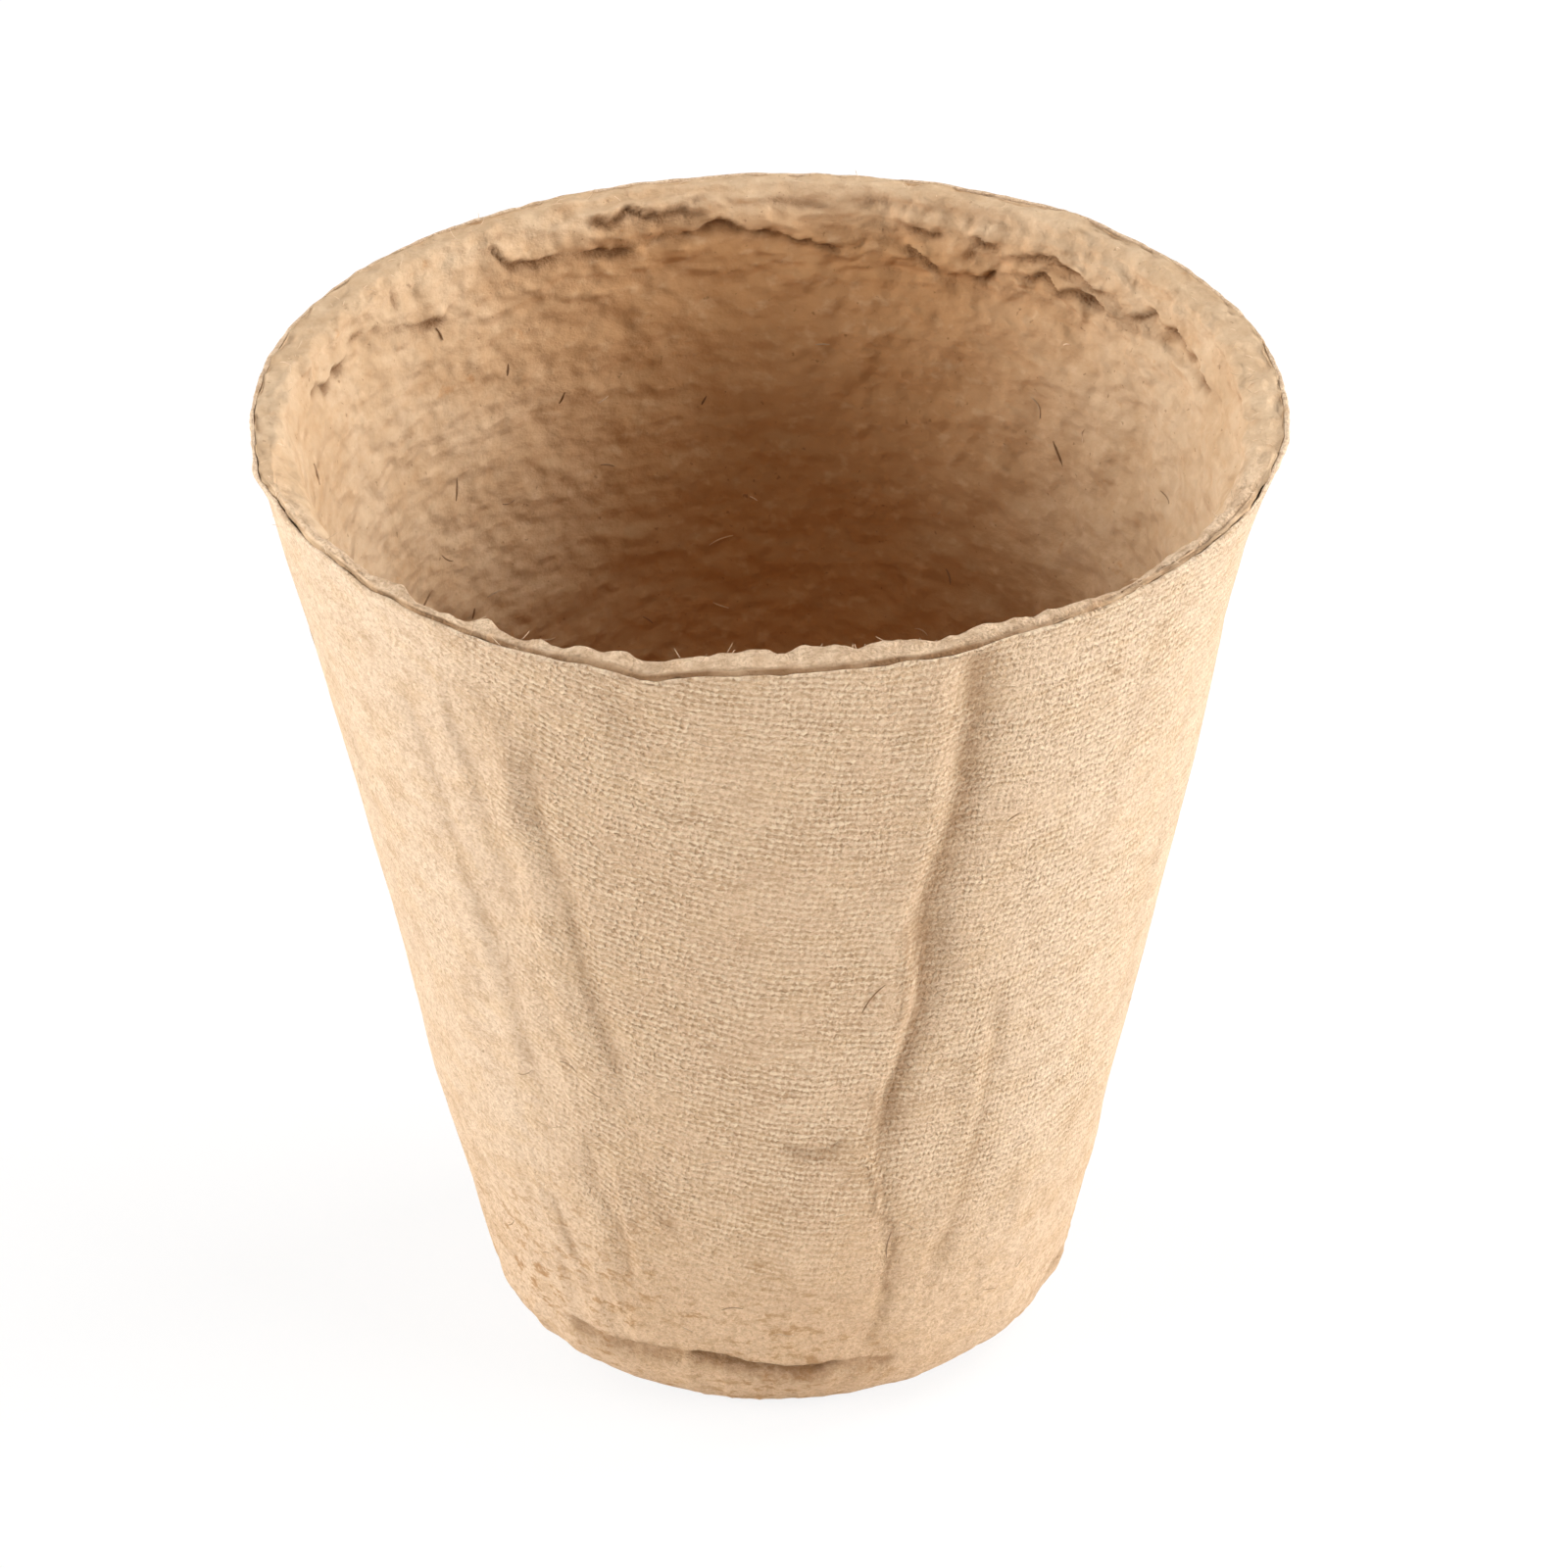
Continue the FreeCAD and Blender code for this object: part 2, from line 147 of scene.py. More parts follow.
# Soft ridges along the wall: points of azimuth and height, rise and width.
WALL_RIDGES = (
    (((-71.4, 80), (-71, 70), (-72, 62), (-73.2, 55), (-73.6, 47), (-75.4, 40)), 0.45, 1.6),
    (((-60.2, 40), (-59.2, 32), (-60.4, 24), (-63, 17)), 0.34, 1.2),
    (((-122.6, 72), (-122.8, 62), (-122.6, 52), (-121, 43), (-118.6, 34)), 0.28, 1.1),
    (((-107.5, 36), (-104, 31), (-103.4, 26)), 0.18, 1.1),
    (((-78.6, 36), (-77.6, 28), (-75, 22)), 0.24, 1.2),
    (((66.5, 76), (65, 58), (68.5, 42)), 0.34, 1.5),
    (((134.5, 74), (137, 56), (132.5, 38)), 0.30, 1.5),
    (((103.5, 58), (106.5, 38), (103, 18)), 0.24, 1.3),
    (((36, 64), (38.5, 44), (37, 22)), 0.22, 1.3),
)
# Folds round the pot: points of azimuth and height, depth, half width, and rise of the lip below the fold.
ROUND_FOLDS = (
    (((-137, 6.9), (-130, 6.3), (-124, 6.4), (-116, 6.8), (-107, 7.3)), 0.44, 0.60, 0.24),
    (((-110, 7.2), (-105, 7.3), (-100, 7.2), (-95, 6.5), (-89, 6.1), (-82, 6.2), (-78, 6.3)),
     0.88, 0.50, 0.36),
    (((-87, 6.4), (-80, 6.4), (-74, 6), (-66, 5.6)), 0.30, 0.50, 0.20),
    (((-90, 31.6), (-86.5, 30.6), (-83, 30.3), (-79.5, 31.4)), 0.24, 0.55, 0.15),
    (((-30, 4.6), (-12, 6.2), (6, 5.4), (20, 4.4)), 0.26, 0.6, 0.14),
    (((52, 5), (70, 6.8), (92, 6), (108, 6.6), (124, 5)), 0.36, 0.6, 0.18),
    (((158, 5.2), (174, 6), (190, 5)), 0.24, 0.6, 0.14),
)
# Brown stains down the wall: points of azimuth and height, width and strength.
STAIN_LINES = (
    (((-73, 54), (-72.6, 48), (-73.2, 42)), 0.35, 0.55),
    (((-124.5, 75), (-122, 68), (-120.6, 60)), 1.30, 0.22),
    (((-118.6, 57), (-117.4, 50), (-115.6, 42)), 0.80, 0.30),
    (((-76, 37), (-75.8, 33), (-76.6, 30)), 0.40, 0.50),
    (((-77, 29), (-74.6, 25.2), (-75, 23), (-70.4, 21), (-70.2, 18), (-71.2, 15), (-69.6, 12)),
     0.28, 0.80),
    (((-72, 11), (-72.6, 8)), 0.60, 0.50),
    (((-131, 21), (-130, 17), (-129, 14)), 0.45, 0.60),
    (((-112, 27), (-110, 23), (-107, 20)), 0.55, 0.35),
)

# Torn edges inside the rim: points of azimuth and height along the lower edge, and how proud the flap is.
TORN_EDGES = (
    (((113.6, 79.2), (106, 78.8), (99.7, 78.3), (96.4, 77.8)), 0.45),
    (((130, 78.8), (126.4, 78.4), (124.3, 76.9), (120.5, 76.6), (114.9, 77), (107.5, 76.1),
      (105.6, 75.4)), 0.45),
    (((149, 77), (144, 76.2), (139.6, 75.6), (134.4, 75.4)), 0.28),
    (((103, 76.2), (95.6, 77.3), (90, 77), (83.6, 76.3), (79.5, 75.8), (75.6, 76.3)), 0.55),
    (((76, 78.3), (70, 77.8), (64, 78.2), (57, 77.4), (50, 77.8), (43, 77.2), (36, 78.4)), 0.35),
    (((80, 76), (70, 76), (66, 74.9), (61, 74.6), (57, 75.6), (52, 76.1), (49, 75.4), (44, 76.3),
      (40, 75.9), (35, 76.9), (31, 77.6), (25, 77.2), (20, 76.4), (14, 76.6), (8, 77.6)), 0.45),
    (((166, 77.4), (160, 76.4), (154, 76.9)), 0.3),
    (((-174, 76.4), (-166, 75.6), (-158, 76.6)), 0.3),
    (((-58, 76.2), (-46, 75), (-33, 76.4)), 0.35),
    (((-124, 76.4), (-112, 75.2), (-98, 76.2)), 0.35),
)
# Pits inside the rim: azimuth, height, half width round the pot, half height and depth.
RIM_PITS = (
    (97.5, 79, 1.6, 0.40, 0.4), (87, 79, 2.8, 0.45, 0.5), (76, 79, 2.6, 0.45, 0.5),
    (62.6, 76.5, 0.8, 0.6, 0.6), (124.5, 79.1, 1.2, 0.4, 0.3), (3.5, 78.7, 2.6, 0.35, 0.5),
    (143, 78, 0.5, 0.9, 0.3), (151.5, 77.4, 1.2, 0.3, 0.3),
)


def smooth(share):
    """An eased step from 0 to 1, flat at both ends."""
    share = np.clip(share, 0, 1)
    return share * share * (3 - 2 * share)


def bell(distance):
    """1 at no distance, falling off evenly on both sides."""
    return np.exp(-distance ** 2)


def around(table, azimuth):
    """A value given at some azimuths, read in between them, right round the pot."""
    places, values = zip(*table)
    return np.interp(azimuth, places, values, period=360)


def waves(parts, azimuth):
    """Cosine and sine waves that close round the pot."""
    angle = np.radians(azimuth)
    return sum(c * np.cos(n * angle) + s * np.sin(n * angle) for n, c, s in parts)


def turn_between(azimuth, place):
    """The angle from a place to each azimuth, from -180 to 180."""
    return (azimuth - place + 180) % 360 - 180


def between(azimuth, start, end, ease=12.0):
    """1 on an arc of azimuths and 0 beyond it, eased at both ends."""
    middle, half = (start + end) / 2, (end - start) / 2
    return smooth((half - np.abs(turn_between(azimuth, middle))) / ease + 0.5)


def lattice_noise(seed, azimuth, along, cell_round, cell_along):
    """Smooth noise from -1 to 1 that closes round the pot; cells are in millimetres."""
    count = max(4, round(2 * math.pi * NOISE_RADIUS / cell_round))
    x = (azimuth % 360) / 360 * count
    y = np.asarray(along) / cell_along + 2
    lattice = np.random.default_rng(seed).uniform(-1, 1, (int(y.max()) + 3, count))
    column, row = np.floor(x).astype(int), np.floor(y).astype(int)
    fx, fy = smooth(x - column), smooth(y - row)
    left, right = column % count, (column + 1) % count
    low = lattice[row, left] * (1 - fx) + lattice[row, right] * fx
    high = lattice[row + 1, left] * (1 - fx) + lattice[row + 1, right] * fx
    return low * (1 - fy) + high * fy


def layered_noise(seed, azimuth, along, cell_round, cell_along, layers=3):
    """Noise with finer and finer layers; each has half the cells and half the height of the one before."""
    total = 0
    for layer in range(layers):
        finer = 2 ** layer
        cells = (cell_round / finer, cell_along / finer)
        total = total + lattice_noise(seed + layer, azimuth, along, *cells) / finer
    return total


def ring_noise(seed, azimuth, cell, layers=3):
    """Noise that only changes round the pot."""
    return layered_noise(seed, azimuth, 0.0, cell, 1, layers)


def bumps(table, azimuth):
    return sum(rise * bell(turn_between(azimuth, place) / width) for place, width, rise in table)


def rim_height(azimuth):
    return POT_HEIGHT + waves(RIM_HEIGHT_WAVES, azimuth) + bumps(RIM_BUMPS, azimuth)


def lifted(azimuth, height):
    """A height on the even pot, moved up or down with the rim's waves; the lower wall stays."""
    return height + (rim_height(azimuth) - POT_HEIGHT) * smooth((height - 50) / 30)


def cone_radius(height):
    return BASE_RADIUS + (RIM_RADIUS - BASE_RADIUS) * height / POT_HEIGHT


def wall_shape(azimuth, height):
    """Radius of the skin before its creases: cone, hollow of the wall, and the rim's waves near the top."""
    to_right = (1 + np.cos(np.radians(azimuth))) / 2
    left = np.interp(height, HOLLOW_HEIGHTS, HOLLOW_LEFT)
    right = np.interp(height, HOLLOW_HEIGHTS, HOLLOW_RIGHT)
    flare = waves(RIM_RADIUS_WAVES, azimuth) * smooth((height - 72) / 8)
    flare = flare + bumps(EDGE_BUMPS, azimuth) * smooth((height - 77.2) / 2.6)
    return cone_radius(height) + left * (1 - to_right) + right * to_right + flare


def line_distance(points, azimuth, height):
    """Distance round the pot from a line down the wall, and how much of the line is there at that height."""
    ordered = sorted(points, key=lambda point: point[1])
    azimuths, heights = zip(*ordered)
    place = np.interp(height, heights, azimuths)
    distance = np.radians(turn_between(azimuth, place)) * cone_radius(height)
    ease = (heights[-1] - heights[0]) * 0.2
    present = smooth((height - heights[0]) / ease + 0.3) * smooth((heights[-1] - height) / ease + 0.3)
    return distance, present


def level_distance(points, azimuth, height):
    """Height above a line round the pot, and how much of the line is there at that azimuth."""
    azimuths, heights = zip(*sorted(points))
    middle = (azimuths[0] + azimuths[-1]) / 2
    turn = turn_between(azimuth, middle)
    half = (azimuths[-1] - azimuths[0]) / 2
    line = np.interp(turn + middle, azimuths, heights)
    present = smooth((half - np.abs(turn)) / (0.34 * half) + 0.1)
    return height - line, present


def wrinkled_share(azimuth, height):
    """How crumpled the skin is: most at the left of the front and low on the wall."""
    left = between(azimuth, -142, -106, 24)
    low = 0.8 * smooth((36 - height) / 20)
    return (0.12 + 0.88 * np.maximum(left, low)) * smooth((79 - height) / 8)


def skin_lumps(azimuth, height):
    """Waves, lumps and fine wrinkles of the skin, outwards."""
    relief = layered_noise(21, azimuth, height, 16, 22, 3) * 0.16
    lumpy = 0.045 + 0.075 * smooth((30 - height) / 16)
    relief = relief + layered_noise(31, azimuth, height, 3.2, 4.0, 2) * lumpy
    turned = azimuth + lattice_noise(13, azimuth, height, 14, 30) * 2.4
    wrinkles = np.clip(1 - 2.4 * np.abs(layered_noise(41, turned, height, 4.2, 24, 3)), 0, 1)
    return relief + 0.20 * wrinkles * wrinkled_share(azimuth, height)


def furrow_relief(azimuth, height, wander):
    """Creases and ridges down the wall, outwards, and how dark they are: painted shade in the creases, and
    the real stains down the wall.
    """
    relief, cavity = 0.0, 0.0
    for points, depth, left_width, right_width in WALL_FURROWS:
        distance, present = line_distance(points, azimuth, height)
        distance = distance + wander
        width = np.where(distance < 0, left_width, right_width)
        relief = relief - depth * bell(distance / width) * present
        # Painted shade in the creases.
        cavity = np.maximum(cavity, bell(distance / (0.6 * width)) * present * min(1.0, depth / 0.6))
    for points, rise, width in WALL_RIDGES:
        distance, present = line_distance(points, azimuth, height)
        relief = relief + rise * bell((distance + wander) / width) * present
    for points, width, strength in STAIN_LINES:
        distance, present = line_distance(points, azimuth, height)
        cavity = np.maximum(cavity, strength * bell((distance + wander * 0.5) / width) * present)
    return relief, cavity


def fold_relief(azimuth, height, wander):
    """Folds round the pot with a raised lip under each, outwards, and the painted shade in them."""
    ragged = ring_noise(15, azimuth, 2.6, 4) * 0.192
    relief, cavity = 0.0, 0.0
    for points, depth, width, below in ROUND_FOLDS:
        above, present = level_distance(points, azimuth, height)
        above = above + wander * 0.25 + ragged
        side = np.where(above > 0, 0.6, 1.5) * width
        relief = relief - depth * bell(above / side) * present
        relief = relief + below * bell((above + 2.2 * width) / (1.6 * width)) * present
        # Painted shade in the folds, darker in the deeper ones.
        dark = 0.35 + 0.65 * depth / 0.75
        cavity = np.maximum(cavity, dark * bell(above / (1.5 * side)) * present)
    return relief, cavity


def skin_relief(azimuth, height):
    """Everything that lifts or sinks the skin, outwards; and how much the cavity layer darkens each point, 0
    to 1: painted shade in the creases and folds, and the real stains down the wall.
    """
    wander = lattice_noise(11, azimuth, height, 9, 9) * 0.5 + lattice_noise(12, azimuth, height, 3, 3) * 0.2
    furrows, creased = furrow_relief(azimuth, height, wander)
    folds, folded = fold_relief(azimuth, height, wander)
    relief = skin_lumps(azimuth, height) + furrows + folds
    return relief, np.clip(np.maximum(creased, folded), 0, 1)


def placed(name, data):
    """A new object in the scene."""
    item = bpy.data.objects.new(name, data)
    bpy.context.scene.collection.objects.link(item)
    return item


def make_piece(name, points, faces, layers, material):
    """A smooth mesh that rides on the pot; points are in millimetres, and layers hold a value for each."""
    mesh = bpy.data.meshes.new(name)
    mesh.from_pydata((np.asarray(points) * MM).tolist(), [], faces)
    mesh.polygons.foreach_set("use_smooth", [True] * len(mesh.polygons))
    for layer, values in layers.items():
        values = np.asarray(values, np.float32)
        mesh.attributes.new(layer, "FLOAT", "POINT").data.foreach_set("value", values)
    mesh.materials.append(material)
    piece = placed(name, mesh)
    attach(piece, "root")
    return piece


class Ply:
    """A closed shell of rings of points round the pot, each joined to the one before it."""

    def __init__(self, name):
        self.name = name
        self.points = []
        self.faces = []
        self.layers = {}
        self.rings = []
        self.count = 0

    def add(self, azimuth, radius, height, **layers):
        """A ring, or a block with a row for each ring."""
        radius, height = np.broadcast_arrays(np.atleast_2d(radius), height)
        angle = np.radians(azimuth)
        block = np.stack([radius * np.cos(angle), radius * np.sin(angle), height], -1)
        for ring in block:
            self.rings.append((self.count, len(ring)))
            self.count += len(ring)
        self.points.append(block.reshape(-1, 3))
        # Layers for the colour: cavity for painted shade in creases, grooves and crevices, and for real
        # stains; pale for painted side light and the raw torn colour; the room's painted shade; weave for the
        # cloth's print.
        for name in ("cavity", "pale", "stain", "weave"):
            values = np.broadcast_to(layers.get(name, 0.0), radius.shape)
            self.layers.setdefault(name, []).append(values.reshape(-1))

    def join(self, lower, upper):
        """Faces between two rings; where one has twice the columns, each of its quads is three triangles."""
        (start, count), (above, above_count) = lower, upper
        if count == above_count:
            i = np.arange(count)
            k = (i + 1) % count
            self.faces.extend(np.stack([start + i, start + k, above + k, above + i], -1).tolist())
            return
        fine_first = count > above_count
        fine, coarse = (start, above) if fine_first else (above, start)
        i = np.arange(min(count, above_count))
        k = (i + 1) % len(i)
        a, b, c = fine + 2 * i, fine + 2 * i + 1, fine + (2 * i + 2) % (2 * len(i))
        p, q = coarse + i, coarse + k
        for corners in ((a, b, p), (b, q, p), (b, c, q)):
            order = corners if fine_first else corners[::-1]
            self.faces.extend(np.stack(order, -1).tolist())

    def build(self, node, material):
        """The piece, which takes the place of a node of the frame."""
        for lower, upper in zip(self.rings, self.rings[1:] + self.rings[:1]):
            self.join(lower, upper)
        layers = {name: np.concatenate(blocks) for name, blocks in self.layers.items()}
        piece = make_piece(self.name, np.concatenate(self.points), self.faces, layers, material)
        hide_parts(node)


def rows(values, azimuth):
    """A ring for each value, the same all round."""
    return np.asarray(values, float)[:, None] + np.zeros(len(azimuth))


def pushed(radius, height, amount):
    """A block of rings moved along the profile's normal, which points to the right of its run."""
    run_radius, run_height = np.gradient(radius, axis=0), np.gradient(height, axis=0)
    length = np.hypot(run_radius, run_height)
    return radius + amount * run_height / length, height - amount * run_radius / length


def along(radius, height):
    """Length along the profile, ring by ring, at each column."""
    steps = np.hypot(np.diff(radius, axis=0), np.diff(height, axis=0))
    return np.concatenate([np.zeros((1, radius.shape[1])), np.cumsum(steps, axis=0)])


def through(stations, steps):
    """Rings that run smoothly through stations, each a radius and a height, with some steps between them."""
    places = np.concatenate([[0], np.cumsum(steps)])
    rings = np.arange(places[-1] + 1)
    made = []
    for part in (0, 1):
        values = np.stack([np.asarray(station[part], float) for station in stations])
        slopes = np.gradient(values, places, axis=0)
        index = np.clip(np.searchsorted(places, rings, side="right") - 1, 0, len(steps) - 1)
        span = (places[index + 1] - places[index])[:, None]
        t = (rings - places[index])[:, None] / span
        low, high = values[index], values[index + 1]
        linear = low + (high - low) * t
        bent = (2 * t**3 - 3 * t**2 + 1) * low + (t**3 - 2 * t**2 + t) * span * slopes[index]
        bent = bent + (3 * t**2 - 2 * t**3) * high + (t**3 - t**2) * span * slopes[index + 1]
        # A share of the straight run keeps the curve from swinging out between its stations.
        made.append(0.35 * linear + 0.65 * bent)
    return made


def weave_strength(azimuth, height):
    """How clearly the cloth is printed: strong on the front, fainter near the foot and towards the sides."""
    facing = 0.50 + 0.50 * between(azimuth, -122, -34, 26) - 0.20 * between(azimuth, -172, -129, 18)
    patches = 0.95 + 0.30 * layered_noise(71, azimuth, height, 10, 7, 2)
    return np.clip(smooth((height - 5) / 22) * facing * patches, 0, 1)


def painted_side_light(azimuth):
    """Painted light: how much paler the skin is painted, more so towards the sides, which the lamps light
    brightly, than at the front.
    """
    sides = 0.62 * smooth((0.985 - np.cos(np.radians(azimuth + 92))) / 0.30)
    return sides * (1 - 0.6 * between(azimuth, 12, 176, 30))


def skin_rows(azimuth, heights):
    """The skin's wall at some heights, creases included: radius, height and layers for its colour."""
    height = rows(heights, azimuth)
    relief, cavity = skin_relief(azimuth, height)
    fade = smooth((POT_HEIGHT - height) / 3) * 0.6 + 0.4
    radius = wall_shape(azimuth, height) + relief * fade
    height = lifted(azimuth, height)
    layers = {"cavity": cavity, "weave": weave_strength(azimuth, height), "pale": painted_side_light(azimuth)}
    return radius, height, layers


def edge_radius(azimuth):
    """Radius of the skin's outer face at the rim."""
    relief, _ = skin_relief(azimuth, POT_HEIGHT)
    return wall_shape(azimuth, POT_HEIGHT) + relief * 0.4


def edge_height(azimuth):
    """Height of the rim, with its small nicks."""
    return rim_height(azimuth) + ring_noise(45, azimuth, 3.0) * 0.07


def split_share(azimuth):
    """How open the split between the plies is: widest at the front, nearly shut at the back."""
    opened = 0.10 + 0.30 * between(azimuth, -172, -14) + 0.60 * between(azimuth, -128, -62, 16)
    return opened * np.clip(1 + 0.40 * ring_noise(51, azimuth, 8), 0.4, 1.6)


def skin_top(azimuth):
    """Height of the skin's edge, which lies lower than the lip where the plies part."""
    return edge_height(azimuth) - LIP_STEP * smooth(1.6 * split_share(azimuth))


def seam_radius(azimuth):
    """Where the skin's edge ends and the felt begins."""
    return edge_radius(azimuth) - SKIN_EDGE * (0.90 + 0.25 * ring_noise(61, azimuth, 4))


def torn_share(azimuth):
    """How pale and raw the lip is: at the front, where it tore."""
    return 0.15 + 0.85 * between(azimuth, -160, -16, 24)


def add_heel(ply, azimuth):
    """The round heel, whose creases fade out where it turns under the floor."""
    bend = np.linspace(-math.pi / 2, -WALL_LEAN, 15)[:-1]
    radius = rows(FOOT_RADIUS + HEEL_RADIUS * np.cos(bend), azimuth)
    height = rows(HEEL_RADIUS + HEEL_RADIUS * np.sin(bend), azimuth)
    relief, cavity = skin_relief(azimuth, height)
    eased = smooth(height / 2.5)
    radius, height = pushed(radius, height, relief * eased)
    ply.add(azimuth, radius, np.maximum(height, 0.0), cavity=cavity * eased, pale=painted_side_light(azimuth))


def add_edge(ply, azimuth, weave):
    """The skin's thin edge at the rim, rough and pale where it tore, and down into the split."""
    outer, inner, top = edge_radius(azimuth), seam_radius(azimuth), skin_top(azimuth)
    stations = [
        (outer - 0.02, top - 0.24),
        (outer - 0.07, top - 0.06),
        (0.5 * (outer + inner), top + 0.02),
        (inner + 0.05, top),
        (inner, top - 0.08),
        (inner, top - 0.30),
    ]
    radius, height = through(stations, (1, 2, 2, 1, 2))
    run = along(radius, height)
    inside = smooth((run - 0.52) / 0.15)
    rough = layered_noise(65, azimuth, run, 0.9, 0.8, 2) * 0.06
    radius, height = pushed(radius, height, rough * (1 - inside))
    crest = bell((along(radius, height) - 0.38) / 0.16) * torn_share(azimuth)
    pale = np.maximum(0.9 * crest, painted_side_light(azimuth))
    shade = 0.40 * smooth(2.4 * split_share(azimuth) - 0.5) * between(azimuth, *GAPING)
    ply.add(azimuth, radius, height, pale=pale, weave=weave * (1 - inside), cavity=inside * shade)


def build_skin(material):
    """The outer ply, from the drain hole out over the heel, up to the edge, and back down inside."""
    ply = Ply("outer_ply_skin")
    floor = rows([DRAIN_RADIUS, DRAIN_RADIUS + 0.25, 6, 9, 12, 15, FOOT_RADIUS - 0.6], HIDDEN)
    ply.add(HIDDEN, floor, rows([0.35, 0.05, 0.05, 0.05, 0.05, 0.05, 0.05], HIDDEN))
    add_heel(ply, WALL)
    heights = np.concatenate([np.linspace(HEEL_TOP, 9, 22), np.linspace(9.4, POT_HEIGHT - 3.2, 142)])
    radius, height, layers = skin_rows(WALL, heights)
    ply.add(WALL, radius, height, **layers)
    radius, height, layers = skin_rows(RIM, np.linspace(POT_HEIGHT - 2.9, POT_HEIGHT - 0.5, 10))
    ply.add(RIM, radius, height, **layers)
    add_edge(ply, RIM, layers["weave"][-1])
    ply.add(WALL, seam_radius(WALL) - 0.30, skin_top(WALL) - 1.1)
    heights = rows([77, 72, 60, 45, 30, 15, 5], HIDDEN)
    ply.add(HIDDEN, wall_shape(HIDDEN, heights) - OUTER_WALL - 0.1, heights)
    ply.add(HIDDEN, rows([FOOT_RADIUS + 1.5, 12, 8, DRAIN_RADIUS], HIDDEN), OUTER_WALL)
    ply.build("outer_ply", material)


def room_shape(azimuth, height):
    """Radius of the room's wall before its felt."""
    corner = BASE_RADIUS - OUTER_WALL - PLY_GAP - INNER_WALL
    straight = corner + (RIM_RADIUS - RIM_BAND - corner) * height / POT_HEIGHT
    follow = wall_shape(azimuth, height) - cone_radius(height)
    return straight + 0.8 * follow


def felt_relief(azimuth, run):
    """Lumps and wrinkles of the felted inside, towards the axis; run is the length along the profile."""
    grainy = between(azimuth, -60, 76, 40)
    lively = 1 + 0.25 * grainy - 0.66 * between(azimuth, 122, 236, 40)
    lumps = layered_noise(81, azimuth, run, 11, 9, 2) * 0.20
    pulp = layered_noise(85, azimuth, run, 3.4, 2.4, 2) * 0.30
    wrinkles = np.abs(layered_noise(91, azimuth, run, 7.0, 2.0, 3))
    grains = layered_noise(87, azimuth, run, 1.7, 1.4, 2) * 0.13 * grainy
    return lumps + pulp * lively + (0.30 - wrinkles) * 0.20 * lively + grains


def room_painted_shade(azimuth, height):
    """Painted shade inside: how much darker and browner the room is painted, more so towards the floor and at
    the back.
    """
    low = smooth((66 - height) / 34) * (1 - 0.75 * between(azimuth, 132, 232, 40))
    back = 0.95 * between(azimuth, 50, 122, 56) * smooth((81 - height) / 6)
    return np.maximum(low, back)


def torn_flaps(azimuth, height, wiggle):
    """Flaps that stand proud above their torn lower edges, and the painted shade in the crevices under the
    edges.
    """
    broken = smooth(ring_noise(105, azimuth, 2.4, 3) * 0.9 + 0.75)
    crumbs = layered_noise(109, azimuth, height, 1.5, 0.9, 2) * 0.24
    relief, cavity = 0.0, 0.0
    for points, proud in TORN_EDGES:
        above, present = level_distance(points, azimuth, height)
        above = above + wiggle + crumbs
        shown = present * (0.22 + 0.78 * broken)
        step = smooth(above / 0.35 + 0.5)
        flap = step * np.exp(-np.clip(above, 0, 9) / 2.6)
        hollow = (1 - step) * np.exp(-np.clip(-above, 0, 9) / 1.5)
        relief = relief + proud * (flap - hollow) * shown
        # Painted shade under each torn edge.
        cavity = np.maximum(cavity, 0.95 * (1 - step) * bell((above + 0.15) / 0.60) * shown)
    return relief, cavity


def torn_relief(azimuth, height):
    """All that is torn inside the rim, towards the axis, and the painted shade in its crevices and pits, 0 to
    1.
    """
    wiggle = ring_noise(101, azimuth, 3.0, 4) * 0.50
    relief, cavity = torn_flaps(azimuth, height, wiggle)
    for place, level, half_round, half_height, depth in RIM_PITS:
        across = np.radians(turn_between(azimuth, place)) * RIM_RADIUS / half_round
        pit = bell(np.hypot(across + wiggle, (height - level + wiggle) / half_height))
        relief = relief - 0.7 * depth * pit
        cavity = np.maximum(cavity, pit * 0.7)
    ragged = between(azimuth, *RAGGED) * smooth((height - 72.5) / 3)
    sheets = layered_noise(107, azimuth, height + wiggle, 6.5, 1.5, 3)
    relief = relief + ragged * np.clip(sheets, -0.6, 0.7) * 0.46
    # Painted shade where the sheets sink.
    cavity = np.maximum(cavity, ragged * smooth((-sheets - 0.35) / 0.4) * 0.35)
    return relief, np.clip(cavity, 0, 1)


def lip_edge(azimuth):
    """Radius of the lip's torn inner edge, ragged between its points."""
    return around(LIP_EDGE, azimuth) + ring_noise(111, azimuth, 2.2, 4) * 0.22


